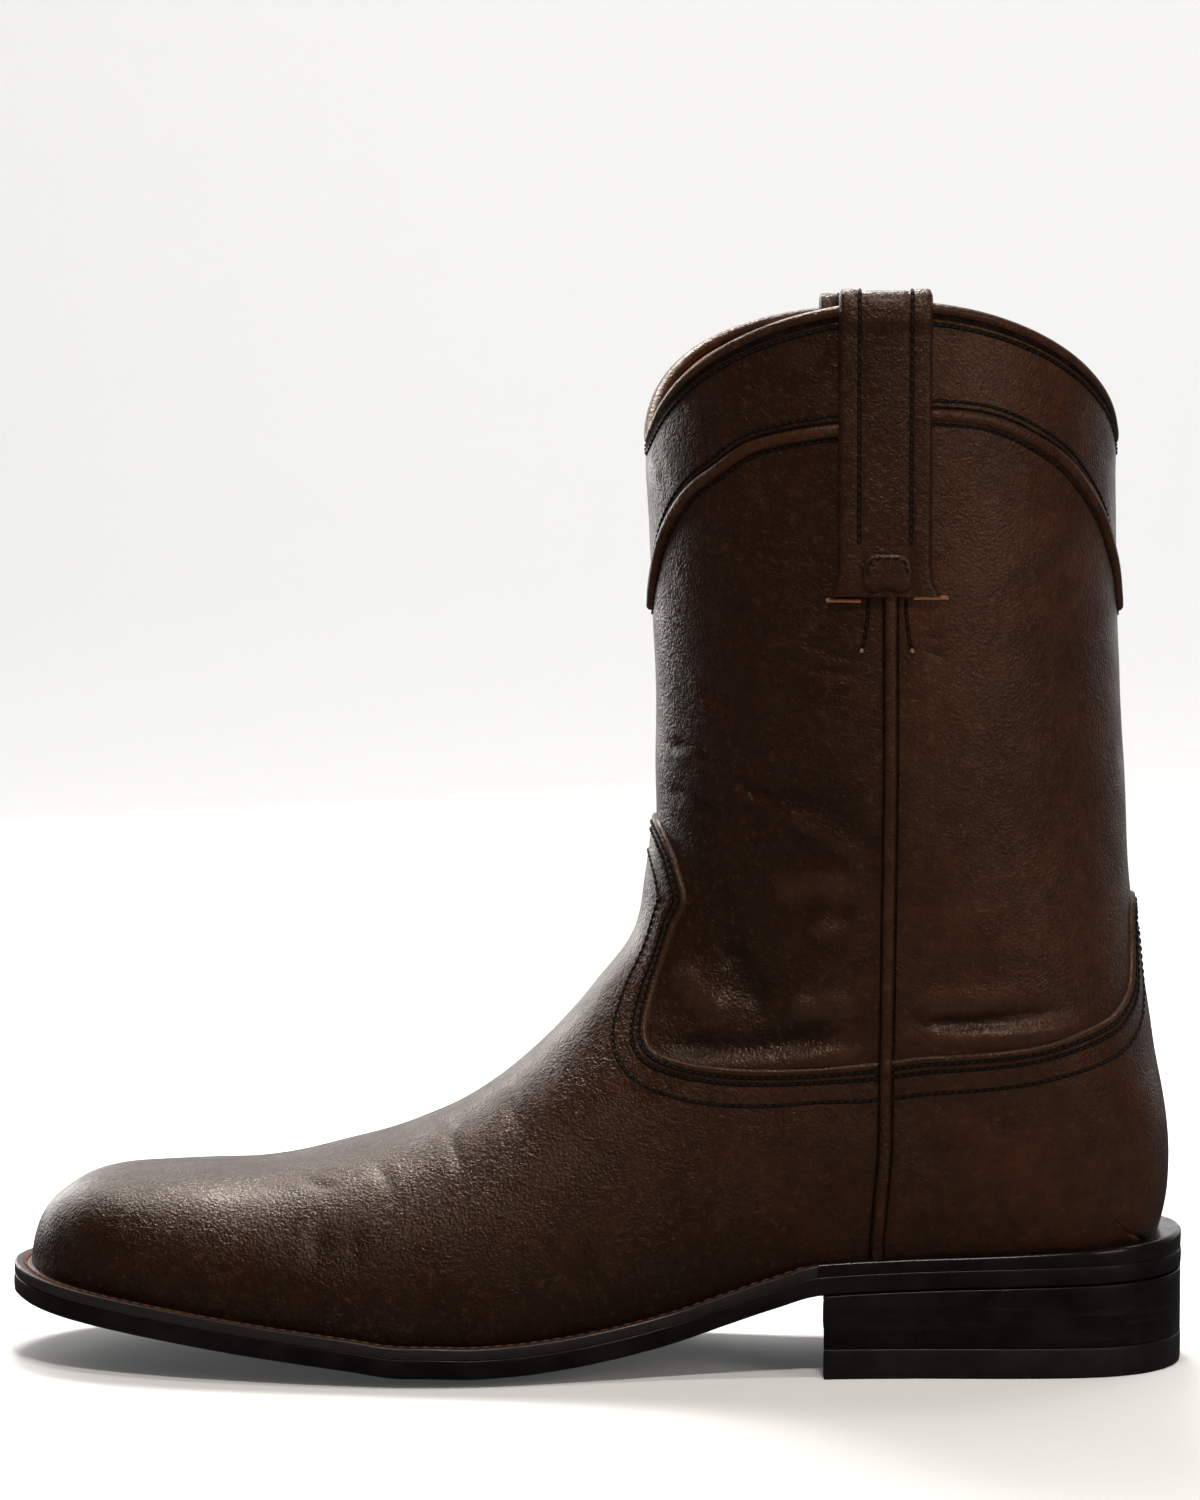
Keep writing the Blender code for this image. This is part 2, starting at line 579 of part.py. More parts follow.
def make_bottom(edges, sole_edges):
    """Insole, outsole, welt and heel, all from the feather line."""
    black, edge_brown = (0.018, 0.015, 0.013), (0.060, 0.032, 0.018)
    places = sole_stations(sole_edges)
    add_part("outsole", plate("outsole", sole_edges, places, sole_bottom, sole_top), black, 0.45)

    inside = [stand_out(edge, np.full(len(edge), -(WALL * 1.5 + WELT_THICKNESS * 0.7))) for edge in edges]
    board = stations(inside[0][0, 0], inside[0][-1, 0], INSOLE_STATIONS)
    insole = plate("insole", inside, board, lambda a, s: sole_top(a, s) + CURVED_GAP,
                   lambda a, s: sole_top(a, s) + CURVED_GAP + INSOLE_THICKNESS, across=4)
    add_part("insole", insole, (0.33, 0.19, 0.09), 0.7)

    hug = [stand_out(edge, np.full(len(edge), OVERLAY_STEP + 2 * GAP)) for edge in edges]
    inner, outer = round_trip(hug), round_trip(sole_edges)
    middle = len(edges[0]) - 1
    breast = HEEL_LENGTH + GAP
    front = [i for i in range(len(inner)) if outer[i][0] > breast + 0.001]
    welt = strip("welt", inner, outer, front, SQUARE_BAND,
                 lambda a, s: sole_top(a, s) + CURVED_GAP, lambda a, s: sole_top(a, s) + WELT_THICKNESS)
    add_part("welt", welt, edge_brown, 0.5)

    turned_in = np.vstack([inner[middle:], inner[1:middle + 1]])
    turned_out = np.vstack([outer[middle:], outer[1:middle + 1]])
    rear = [i for i in range(len(turned_in)) if turned_out[i][0] < breast - 0.002]
    rand = strip("heel_rand", turned_in, turned_out, rear, ROUND_BAND,
                 lambda a, s: sole_top(a, s) + CURVED_GAP, lambda a, s: sole_top(a, s) + WELT_THICKNESS)
    add_part("heel_rand", rand, black, 0.25)

    places = [HEEL_LENGTH] + [p for p in places if p < HEEL_LENGTH - 2 * GAP]
    stack = plate("heel_stack", sole_edges, places, lambda a, s: CAP_THICKNESS + GAP,
                  lambda a, s: sole_bottom(a, s) - CURVED_GAP, BREAST_HOLLOW)
    add_part("heel_stack", stack, (0.030, 0.024, 0.020), 0.4)
    cap = plate("heel_cap", sole_edges, places, lambda a, s: 0.0, lambda a, s: CAP_THICKNESS, BREAST_HOLLOW)
    add_part("heel_cap", cap, (0.012, 0.012, 0.012), 0.6)


def make_binding(rim):
    """The rolled bead that sits on the collar's rim."""
    curve = bpy.data.curves.new("collar_binding", "CURVE")
    curve.dimensions = "3D"
    curve.bevel_depth = BINDING_THICKNESS / 2
    curve.bevel_resolution = 2
    line = curve.splines.new("POLY")
    line.points.add(len(rim) - 1)
    line.use_cyclic_u = True
    for slot, (point, rise) in zip(line.points, rim):
        slot.co = (*(point + rise * (BINDING_THICKNESS / 2 + GAP)), 1.0)
    obj = bpy.data.objects.new("collar_binding", curve)
    PARTS.objects.link(obj)
    curve.materials.append(material("collar_binding_finish", LEATHER, 0.35))


def make_yoke(tree, name, rows, front):
    """A raised cord that dips at the front or back of the shaft and ends at the pull straps."""
    beyond = math.degrees(math.atan2(STRAP_WIDTH / 2 + 3 * GAP, SHAFT_WIDTH / 2))
    reach = 90 - beyond
    degrees = np.array([row.degrees for row in rows], dtype=float)
    heights = np.array([row.height for row in rows])
    points = []
    for turn in np.linspace(-reach, reach, 31):
        dip = monotone(degrees, heights, np.array([abs(turn)]))[0] if abs(turn) < degrees[-1] else heights[-1]
        around = math.radians(turn) + (0 if front else math.pi)
        points.append(surface_from_axis(tree, around, COLLAR_UP - COLLAR_DIP * (1 + dip)))
    bead(name, tracked(points))


def make_side_seam(tree, name, side):
    """The raised seam from the strap's foot down to the welt, over the edge of vamp and counter."""
    along = SHAFT_BACK + SIDE_SEAM * SHAFT_DEPTH
    top = COLLAR_UP - STRAP_DROP - 3 * GAP
    bottom = float(sole_top(along)) + WELT_THICKNESS + PIPING_HEIGHT
    step_up = VAMP_EDGE[-1].up * THROAT_UP
    above = np.linspace(top, step_up + 3 * PIPING_HEIGHT, 15)
    below = np.linspace(step_up + PIPING_HEIGHT, bottom, 9)
    points = []
    for up in np.concatenate([above, below]):
        point, out = surface_from_side(tree, along, up, side)
        points.append((point + out * (OVERLAY_STEP if up < above[-1] else 0.0), out))
    bead(name, tracked(points))


def make_strap(tree, name, side):
    """A band up the outside of the shaft, over the collar and down the inside."""
    half = STRAP_THICKNESS / 2
    crown_up = COLLAR_UP + GAP + BINDING_THICKNESS
    drops = np.linspace(STRAP_DROP, 0.004, 8)
    rows = []
    for offset in np.linspace(-STRAP_WIDTH / 2, STRAP_WIDTH / 2, 5):
        along = SHAFT_MIDDLE + offset
        outer = []
        for drop in drops:
            point, _ = surface_from_side(tree, along, COLLAR_UP - drop, side)
            outer.append((abs(point.y) + GAP + half, COLLAR_UP - drop))
        inner = [(y - WALL - 2 * GAP - STRAP_THICKNESS, z) for y, z in outer]
        inner = [p for p in inner if COLLAR_UP - p[1] < STRAP_INSIDE_DROP]
        middle = (outer[-1][0] + inner[-1][0]) / 2
        reach = max((outer[-1][0] - inner[-1][0]) / 2, BINDING_THICKNESS / 2 + 3 * GAP + half)
        lift = crown_up + STRAP_LOOP - outer[-1][1]
        loop = []
        for i in range(1, 10):
            turn = math.pi * i / 10
            out = math.copysign(abs(math.cos(turn)) ** 0.55, math.cos(turn))
            loop.append((middle + reach * out, outer[-1][1] + lift * math.sin(turn) ** 0.9))
        line = outer + loop + inner[::-1]
        rows.append([place(along, side * y, z) for y, z in line])
    mesh = bpy.data.meshes.new(name)
    bm = bmesh.new()
    grid = [[bm.verts.new(p) for p in row] for row in rows]
    for a, b in zip(grid, grid[1:]):
        for i in range(len(a) - 1):
            bm.faces.new((a[i], a[i + 1], b[i + 1], b[i]))
    bmesh.ops.recalc_face_normals(bm, faces=bm.faces)
    bm.to_mesh(mesh)
    bm.free()
    strap = add_part(name, mesh, LEATHER, 0.35)
    thicken(strap, STRAP_THICKNESS, 0)


def build():
    edges = feather_line()
    sole_edges = [stand_out(edge, margins(column)) for edge, column in zip(edges, (1, 2))]
    tree = tree_of(last_mesh("form", True))
    rim = rim_line(tree)
    make_upper(sole_edges, rim)
    make_bottom(edges, sole_edges)
    make_binding(rim)
    make_yoke(tree, "yoke_piping_front", YOKE_FRONT, True)
    make_yoke(tree, "yoke_piping_back", YOKE_BACK, False)
    for name, side in (("lateral", -1), ("medial", 1)):
        make_side_seam(tree, "side_piping_" + name, side)
        make_strap(tree, "pull_strap_" + name, side)


for old in list(bpy.data.objects):
    bpy.data.objects.remove(old)
PARTS = bpy.data.collections.new("roper_boot")
CUTTERS = bpy.data.collections.new("cutters")
for group in (PARTS, CUTTERS):
    bpy.context.scene.collection.children.link(group)
build()
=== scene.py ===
import math
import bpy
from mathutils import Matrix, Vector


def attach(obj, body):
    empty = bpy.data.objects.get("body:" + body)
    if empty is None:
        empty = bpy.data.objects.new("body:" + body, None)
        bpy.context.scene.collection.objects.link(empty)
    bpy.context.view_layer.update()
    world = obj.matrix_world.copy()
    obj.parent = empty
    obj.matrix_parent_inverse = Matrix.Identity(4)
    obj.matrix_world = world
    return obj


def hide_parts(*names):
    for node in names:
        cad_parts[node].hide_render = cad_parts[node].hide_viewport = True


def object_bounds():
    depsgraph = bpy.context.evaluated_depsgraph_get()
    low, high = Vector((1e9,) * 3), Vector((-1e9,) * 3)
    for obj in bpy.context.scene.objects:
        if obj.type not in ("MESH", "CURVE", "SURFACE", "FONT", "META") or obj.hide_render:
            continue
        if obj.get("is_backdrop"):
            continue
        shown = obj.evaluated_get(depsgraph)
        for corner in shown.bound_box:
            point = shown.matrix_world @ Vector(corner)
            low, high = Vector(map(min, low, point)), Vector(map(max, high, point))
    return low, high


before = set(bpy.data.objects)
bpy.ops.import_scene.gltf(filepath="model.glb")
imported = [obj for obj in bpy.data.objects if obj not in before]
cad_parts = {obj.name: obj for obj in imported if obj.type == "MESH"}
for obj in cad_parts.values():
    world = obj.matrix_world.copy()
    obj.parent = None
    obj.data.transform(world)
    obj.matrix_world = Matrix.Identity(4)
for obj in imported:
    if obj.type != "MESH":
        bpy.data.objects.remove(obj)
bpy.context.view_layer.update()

from types import SimpleNamespace

import bmesh
import bpy
import numpy as np
from mathutils import Vector, noise
from mathutils.bvhtree import BVHTree
from mathutils.kdtree import KDTree

# A roper boot for the left foot. The toe points along -X and the outside of the foot faces -Y.
# "along" runs from the back of the outsole towards the toe, and "up" from the floor, in metres.

form = {
    "lastLength": 0.2976, "ballWidth": 0.0925, "ankleWidth": 0.0780, "instepHeight": 0.1000,
    "shaftWidth": 0.1060, "shaftDepth": 0.1212, "shaftHeight": 0.2452, "backLean": 0.0132,
    "collarDip": 0.0450, "collarRounding": 0.10, "collarFullness": 0.65,
    "wall": 0.0022, "collarTurn": 5.0, "insideDrop": 0.0022,
}
ground = {
    "outsole": 0.0050, "welt": 0.0032, "weltWidth": 0.0064, "heelLength": 0.0950, "heelHeight": 0.0218,
    "seatPitch": 0.0030, "lift": 0.0080, "breastHollow": 0.0030, "toeSpring": 0.0166, "flatSpot": 0.0140,
    "crown": 0.0024, "crownStart": 0.21, "crownEnd": 0.57, "crownLimit": 1.3, "ballPlace": 0.633,
}
# crest, rise, keel, drop, lateral, medial, widest, low, high
footRows = (
    (1.000, 0.035, 1.000, -0.035, 0.000, 0.000, 0.50, 2.2, 2.2),
    (0.983, 0.158, 0.994, 0.078, 0.132, 0.153, 0.47, 2.3, 2.3),
    (0.942, 0.241, 0.970, 0.111, 0.252, 0.288, 0.44, 2.4, 2.4),
    (0.877, 0.301, 0.932, 0.111, 0.344, 0.387, 0.42, 2.5, 2.5),
    (0.752, 0.353, 0.863, 0.116, 0.430, 0.462, 0.41, 2.5, 2.5),
    (0.616, 0.400, 0.792, 0.117, 0.480, 0.497, 0.40, 2.5, 2.4),
    (0.499, 0.467, 0.725, 0.120, 0.512, 0.496, 0.39, 2.5, 2.3),
    (0.387, 0.548, 0.658, 0.120, 0.526, 0.474, 0.38, 2.6, 2.2),
    (0.275, 0.638, 0.581, 0.117, 0.518, 0.440, 0.38, 2.6, 2.1),
    (0.174, 0.755, 0.493, 0.107, 0.490, 0.405, 0.40, 2.6, 2.0),
    (0.085, 0.891, 0.396, 0.118, 0.452, 0.390, 0.43, 2.6, 2.0),
)
rearRows = (
    (1.033, -0.005, 0.295, 0.129, 0.515, 0.470, 0.47, 2.6, 2.0),
    (1.007, 0.084, 0.191, 0.108, 0.505, 0.488, 0.52, 2.75, 2.0),
    (0.992, 0.176, 0.093, 0.103, 0.517, 0.508, 0.56, 2.75, 2.0),
    (0.993, 0.261, 0.030, 0.044, 0.545, 0.540, 0.57, 2.7, 2.0),
)
shaftRows = (
    (0.992, 0.340, 0.091, 0.042, 0.424, 0.420, 0.56, 2.5, 2.0),
    (0.993, 0.413, 0.000, 0.122, 0.447, 0.444, 0.54, 2.3, 2.0),
    (0.999, 0.509, 0.333, 0.234, 0.470, 0.468, 0.52, 2.1, 2.0),
    (1.007, 0.631, 0.667, 0.363, 0.487, 0.486, 0.51, 2.0, 2.0),
    (1.015, 0.746, 0.841, 0.525, 0.497, 0.497, 0.50, 2.0, 2.0),
    (1.013, 0.867, 1.000, 0.706, 0.500, 0.500, 0.50, 2.0, 2.0),
    (1.012, 1.085, 1.068, 1.056, 0.500, 0.500, 0.50, 2.0, 2.0),
)
waistRises = ((0.14, 0.83), (0.27, 0.64), (0.41, 0.43), (0.55, 0.27), (0.70, 0.138), (0.86, 0.041))
toeRises = ((0.14, 0.115), (0.39, 0.335), (0.60, 0.55), (0.81, 0.78), (1.0, 1.0))
# place along the edge from the toe to the back of the heel, lateral and medial shares of the welt's width
soleMargins = ((0.0, 0.90, 0.90), (0.20, 0.98, 0.98), (0.38, 1.05, 1.0), (0.55, 0.70, 0.50),
               (0.70, 0.64, 0.58), (0.86, 0.78, 0.76), (1.0, 1.36, 1.36))

setback = soleMargins[0][1] * ground["weltWidth"]
soleLength = form["lastLength"] + 2 * setback
shaftBack = setback + form["backLean"]
shaftFront = shaftBack + form["shaftDepth"]
shaftMiddle = shaftBack + form["shaftDepth"] / 2
seatUp = ground["heelHeight"] + ground["seatPitch"] + ground["outsole"]
collarTop = seatUp + form["shaftHeight"]


def curveThrough(rows, places):
    rows = np.asarray(rows, dtype=float)
    padded = np.vstack([2 * rows[0] - rows[1], rows, 2 * rows[-1] - rows[-2]])
    start = np.clip(np.floor(places).astype(int), 0, len(rows) - 2)
    t = (places - start)[:, None]
    a, b, c, d = (padded[start + i] for i in range(4))
    square, cube = 2 * a - 5 * b + 4 * c - d, 3 * b - a - 3 * c + d
    return 0.5 * (2 * b + (c - a) * t + square * t ** 2 + cube * t ** 3)


def levelLine(places, heights, at):  # smooth, and never past its own points
    places, heights, at = np.asarray(places), np.asarray(heights), np.asarray(at, dtype=float)
    step = np.diff(places)
    slope = np.diff(heights) / step
    tangent = np.zeros(len(places))
    both, product = slope[:-1] + slope[1:], slope[:-1] * slope[1:]
    tangent[1:-1] = np.where(product > 0, 2 * product / np.where(both == 0, 1, both), 0)
    tangent[0], tangent[-1] = slope[0], slope[-1]
    i = np.clip(np.searchsorted(places, at) - 1, 0, len(step) - 1)
    t = (at - places[i]) / step[i]
    return (heights[i] * (1 + 2 * t) * (1 - t) ** 2 + tangent[i] * step[i] * t * (1 - t) ** 2
            + heights[i + 1] * t ** 2 * (3 - 2 * t) + tangent[i + 1] * step[i] * t ** 2 * (t - 1))


def soleTable():
    ball = ground["ballPlace"] * soleLength
    flat = (ball - ground["flatSpot"] / 2, ball + ground["flatSpot"] / 2)
    breast, high = ground["heelLength"], ground["heelHeight"]
    table = [(0.0, high + ground["seatPitch"]), (breast, high)]
    table += [(breast + p * (flat[0] - breast), h * high) for p, h in waistRises]
    table += [(flat[0], 0.0), (flat[1], 0.0)]
    table += [(flat[1] + p * (soleLength - flat[1]), h * ground["toeSpring"]) for p, h in toeRises]
    return np.array(table)


soleLine = soleTable()


def soleUnder(along, side=0.0):
    along, side = np.asarray(along, dtype=float), np.asarray(side, dtype=float)
    breast, start = ground["heelLength"], ground["crownStart"]
    forefoot = np.clip((along - breast) / (ground["ballPlace"] * soleLength - breast), 0, 1)
    edge = (np.abs(side) / form["ballWidth"] - start) / (ground["crownEnd"] - start)
    crown = ground["crown"] * forefoot * np.clip(edge, 0, ground["crownLimit"]) ** 2
    return levelLine(soleLine[:, 0], soleLine[:, 1], along) + crown


def soleTop(along, side=0.0):
    return soleUnder(along, side) + ground["outsole"]


throatUp = float(soleTop(shaftFront)) + form["instepHeight"]


def place(along, side, up):
    return np.stack(np.broadcast_arrays(ground["heelLength"] / 2 - np.asarray(along), side, up), axis=-1)


def sectionRows():
    rows = []
    length, instep, depth = form["lastLength"], form["instepHeight"], form["shaftDepth"]
    climb = collarTop - throatUp
    for s in footRows:
        crest = shaftFront + s[0] * (setback + length - shaftFront)
        keel = setback + s[2] * length
        rows.append((crest, soleTop(crest) + s[1] * instep, keel, soleTop(keel) - s[3] * instep,
                     s[4] * form["ballWidth"], s[5] * form["ballWidth"], *s[6:]))
    for s in rearRows:
        keel = setback + s[2] * length
        rows.append((shaftBack + s[0] * depth, throatUp + s[1] * climb, keel, soleTop(keel) - s[3] * instep,
                     s[4] * form["ankleWidth"], s[5] * form["ankleWidth"], *s[6:]))
    for s in shaftRows:
        rows.append((shaftBack + s[0] * depth, throatUp + s[1] * climb, setback + s[2] * form["backLean"],
                     seatUp + s[3] * form["shaftHeight"], s[4] * form["shaftWidth"],
                     s[5] * form["shaftWidth"], *s[6:]))
    return np.array(rows, dtype=float)


def sectionsAt(places):
    rows = sectionRows()
    mirror = rows[1].copy()
    mirror[0:4] = rows[1][[2, 3, 0, 1]]
    mirror[4:6] = -rows[1][4:6]
    return curveThrough(np.vstack([mirror, rows]), np.asarray(places, dtype=float) + 1)


def onSection(sections, angles, side):  # along, side and up at angles from keel (-90) to crest (90 degrees)
    s = [sections[:, i][:, None] for i in range(9)]
    lift, out = np.sin(angles), np.abs(np.cos(angles))
    full = np.where(lift < 0, s[7], s[8])
    share = s[6] + np.where(lift < 0, s[6], 1 - s[6]) * np.sign(lift) * np.abs(lift) ** (2 / full)
    width = out ** (2 / full) * (s[4] if side < 0 else s[5])
    return s[2] + share * (s[0] - s[2]), side * width, s[3] + share * (s[1] - s[3])


gridSettings = {"fineRows": 3000, "fineAngles": 300, "halfGirth": 0.185}


def skinGrid(step, tuck):  # even rows and columns over the whole lasted form, from the welt up
    total = len(footRows) + len(rearRows) + len(shaftRows) - 1
    fine = np.linspace(0, total, gridSettings["fineRows"])
    angles = np.linspace(-1.2, math.pi / 2, 11)[None, :]
    probe = np.stack(onSection(sectionsAt(fine), angles, -1), axis=-1)
    travel = np.concatenate([[0], np.cumsum(np.linalg.norm(np.diff(probe, axis=0), axis=2).max(axis=1))])
    rows = np.interp(np.linspace(0, travel[-1], int(travel[-1] / step)), travel, fine)
    sections = sectionsAt(rows)
    columns = int(gridSettings["halfGirth"] / step)
    dense = np.linspace(-math.pi / 2, math.pi / 2, gridSettings["fineAngles"])
    halves = []
    for side in (-1, 1):
        along, across, up = onSection(sections, dense[None, :], side)
        run = np.sqrt(np.diff(along) ** 2 + np.diff(across) ** 2 + np.diff(up) ** 2)
        run = np.concatenate([np.zeros((len(rows), 1)), np.cumsum(run, axis=1)], axis=1)
        clear = up - soleTop(along, across) - ground["welt"] + tuck
        angles = np.empty((len(rows), columns + 1))
        for i in range(len(rows)):
            under = np.nonzero(clear[i] < 0)[0]
            start = 0.0
            if len(under) and under[-1] < len(dense) - 1:
                k = under[-1]
                fall = clear[i, k] - clear[i, k + 1]
                start = run[i, k] + (run[i, k + 1] - run[i, k]) * clear[i, k] / fall
            angles[i] = np.interp(np.linspace(start, run[i, -1], columns + 1), run[i], dense)
        halves.append(place(*onSection(sections, angles, side)))
    grid = np.concatenate([halves[0], halves[1][:, -2::-1]], axis=1)
    normals = np.cross(np.gradient(grid, axis=0), np.gradient(grid, axis=1))
    closed = np.abs(grid[:, 0, 1]) < 1e-7
    normals[closed, 0, 1] = normals[closed, -1, 1] = 0.0
    normals[0] = normals[1].sum(axis=0)
    normals /= np.linalg.norm(normals, axis=2)[..., None] + 1e-12
    middle = place((sections[:, 0] + sections[:, 2]) / 2, 0.0, (sections[:, 1] + sections[:, 3]) / 2)
    outward = ((grid - middle[:, None]) * normals).sum() > 0
    m, n = grid.shape[:2]
    index = np.arange(m * n).reshape(m, n)
    corners = [index[:-1, :-1], index[:-1, 1:], index[1:, 1:], index[1:, :-1]]
    faces = np.stack(corners, axis=-1).reshape(-1, 4)
    if not outward:
        normals = -normals
    i, j = m // 2, n // 4
    facing = np.cross(grid[i, j + 1] - grid[i, j], grid[i + 1, j] - grid[i, j])
    if np.dot(facing, normals[i, j]) < 0:
        faces = faces[:, ::-1]
    return grid.reshape(-1, 3), normals.reshape(-1, 3), faces


# Lines on the skin

def treeOf(points, faces):
    return BVHTree.FromPolygons([tuple(p) for p in points], [tuple(int(i) for i in f) for f in faces])


def onShaft(tree, degrees, up):  # degrees round the shaft from its front, outside first
    turn = math.radians(degrees)
    ray = Vector((-math.cos(turn), -math.sin(turn), 0))
    start = Vector(place(shaftMiddle, 0, up)) + ray * 0.3
    return np.array(tree.ray_cast(start, -ray, 0.3)[0])


def onSide(tree, along, up, side):
    return np.array(tree.ray_cast(Vector(place(along, side * 0.3, up)), Vector((0, -side, 0)), 0.6)[0])


def evenLine(points, count, closed=False):
    points = np.asarray(points, dtype=float)
    if closed:
        points = np.vstack([points, points[:1]])
    travel = np.concatenate([[0], np.cumsum(np.linalg.norm(np.diff(points, axis=0), axis=1))])
    at = np.linspace(0, travel[-1], count + 1 if closed else count)
    line = np.column_stack([np.interp(at, travel, points[:, i]) for i in range(3)])
    return line[:-1] if closed else line


def softened(points, passes, closed=False):
    points = points.copy()
    for _ in range(passes):
        if closed:
            points = (np.roll(points, 1, axis=0) + 2 * points + np.roll(points, -1, axis=0)) / 4
        else:
            points[1:-1] = (points[:-2] + 2 * points[1:-1] + points[2:]) / 4
    return points


def laidOn(tree, points):  # nearest points of the skin, and its outward directions there
    hits = [tree.find_nearest(Vector(p)) for p in points]
    return np.array([h[0] for h in hits]), np.array([h[1] for h in hits])


def acrossLine(points, outs, closed=False):
    if closed:
        run = np.roll(points, -1, axis=0) - np.roll(points, 1, axis=0)
    else:
        run = np.gradient(points, axis=0)
    across = np.cross(outs, run)
    return across / (np.linalg.norm(across, axis=1)[:, None] + 1e-12)


def beside(tree, points, outs, distance, closed=False):
    moved = points + acrossLine(points, outs, closed) * distance
    return laidOn(tree, softened(moved, 3, closed))


def signedDistance(points, line, outs, closed=False):
    kd = KDTree(len(line))
    for i, p in enumerate(line):
        kd.insert(p, i)
    kd.balance()
    near = np.array([kd.find(p)[1] for p in points])
    across = acrossLine(line, outs, closed)
    best = None
    for other in (-1, 1):
        j = (near + other) % len(line) if closed else np.clip(near + other, 0, len(line) - 1)
        a, b = line[near], line[j]
        run = b - a
        t = np.clip(((points - a) * run).sum(axis=1) / ((run * run).sum(axis=1) + 1e-15), 0, 1)
        d = np.linalg.norm(points - a - run * t[:, None], axis=1)
        best = d if best is None else np.minimum(best, d)
    return best * np.sign(((points - line[near]) * across[near]).sum(axis=1))


def cutAlong(data, faces, field, bothSides=False):  # splits faces where a column changes sign
    values = data[:, field] if isinstance(field, int) else field
    above = (values > 0).tolist()
    made, rows, kept, rim = {}, [], [], []
    count = len(data)
    for face in faces:
        signs = [above[i] for i in face]
        if all(signs):
            kept.append(face)
            continue
        if not any(signs):
            if bothSides:
                kept.append(face)
            continue
        front, back, leaving, coming = [], [], None, None
        for a, b in zip(face, face[1:] + face[:1]):
            (front if above[a] else back).append(a)
            if above[a] != above[b]:
                key = (min(a, b), max(a, b))
                if key not in made:
                    t = values[a] / (values[a] - values[b])
                    made[key] = count + len(rows)
                    rows.append(data[a] + t * (data[b] - data[a]))
                front.append(made[key])
                back.append(made[key])
                if above[a]:
                    leaving = made[key]
                else:
                    coming = made[key]
        kept.append(tuple(front))
        rim.append((leaving, coming))
        if bothSides:
            kept.append(tuple(back))
    if rows:
        data = np.vstack([data, np.array(rows)])
    return data, kept, rim


def onlyUsed(data, faces):
    used = sorted({i for f in faces for i in f})
    new = {old: i for i, old in enumerate(used)}
    return data[used], [tuple(new[i] for i in f) for f in faces], new


def meshFrom(name, points, faces, extras=None, merge=2e-6, sharp=None):
    mesh = bpy.data.meshes.new(name)
    mesh.from_pydata([tuple(p) for p in points], [], faces)
    for label, values in (extras or {}).items():
        layer = mesh.attributes.new(label, "FLOAT", "POINT")
        layer.data.foreach_set("value", np.asarray(values, dtype=np.float32))
    bm = bmesh.new()
    bm.from_mesh(mesh)
    bmesh.ops.remove_doubles(bm, verts=bm.verts, dist=merge)
    if sharp:
        bmesh.ops.recalc_face_normals(bm, faces=bm.faces)
    bm.to_mesh(mesh)
    bm.free()
    mesh.shade_smooth()
    if sharp:
        mesh.set_sharp_from_angle(angle=math.radians(sharp))
    return mesh


def linked(name, data):
    thing = bpy.data.objects.new(name, data)
    bpy.context.scene.collection.objects.link(thing)
    return thing


def addPiece(name, mesh, mat, slot, *nodes):
    piece = linked(name, mesh)
    mesh.materials.clear()
    mesh.materials.append(mat)
    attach(piece, "root")
    if nodes:
        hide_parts(*nodes)
    return piece


# Finishes

def fill(socket, value):
    if isinstance(value, bpy.types.NodeSocket):
        socket.id_data.links.new(value, socket)
    elif socket.type == "RGBA":
        socket.default_value = (*value[:3], 1.0)
    else:
        socket.default_value = value


# lower-case names are the node's settings, and the others, with i0 and i1, are its sockets
def addNode(tree, kind, **inputs):
    node = tree.nodes.new(kind)
    for key, value in inputs.items():
        if key[1:].isdigit():
            fill(node.inputs[int(key[1:])], value)
        elif key.islower():
            setattr(node, key, value)
        else:
            fill(node.inputs[key.replace("_", " ")], value)
    return node


def paintbox(name):
    mat = bpy.data.materials.new(name)
    mat.use_nodes = True
    tree = mat.node_tree
    shader = tree.nodes["Principled BSDF"]
    coords = tree.nodes.new("ShaderNodeTexCoord").outputs["Object"]

    def add(kind, **inputs):
        return addNode(tree, kind, **inputs)

    def noise(scale, detail=2.0, roughness=0.5, distortion=0.0, vector=None):
        return add("ShaderNodeTexNoise", Vector=vector or coords, Scale=scale, Detail=detail,
                   Roughness=roughness, Distortion=distortion).outputs["Fac"]

    def span(value, low, high, to=(0.0, 1.0)):
        return add("ShaderNodeMapRange", interpolation_type="SMOOTHSTEP", Value=value, From_Min=low,
                   From_Max=high, To_Min=to[0], To_Max=to[1]).outputs["Result"]

    def mix(share, a, b):
        return add("ShaderNodeMix", data_type="RGBA", i0=share, i6=a, i7=b).outputs[2]

    def maths(operation, a, b=0.0):
        return add("ShaderNodeMath", operation=operation, i0=a, i1=b).outputs["Value"]

    def uneven(value, least, most, base):
        return maths("ADD", span(value, 0.3, 0.7, (least, most)), base)

    def attribute(label):
        return add("ShaderNodeAttribute", attribute_name=label).outputs["Fac"]

    def part(axis):
        return add("ShaderNodeSeparateXYZ", i0=coords).outputs[axis]

    def bump(height, distance, strength=1.0, normal=None):
        extra = {"Normal": normal} if normal else {}
        node = add("ShaderNodeBump", Strength=strength, Distance=distance, Height=height, **extra)
        return node.outputs["Normal"]

    def finish(**sockets):
        for key, value in sockets.items():
            fill(shader.inputs[key.replace("_", " ")], value)
        return mat

    return SimpleNamespace(add=add, noise=noise, span=span, mix=mix, maths=maths, uneven=uneven,
                           attribute=attribute, part=part, bump=bump, finish=finish, coords=coords)


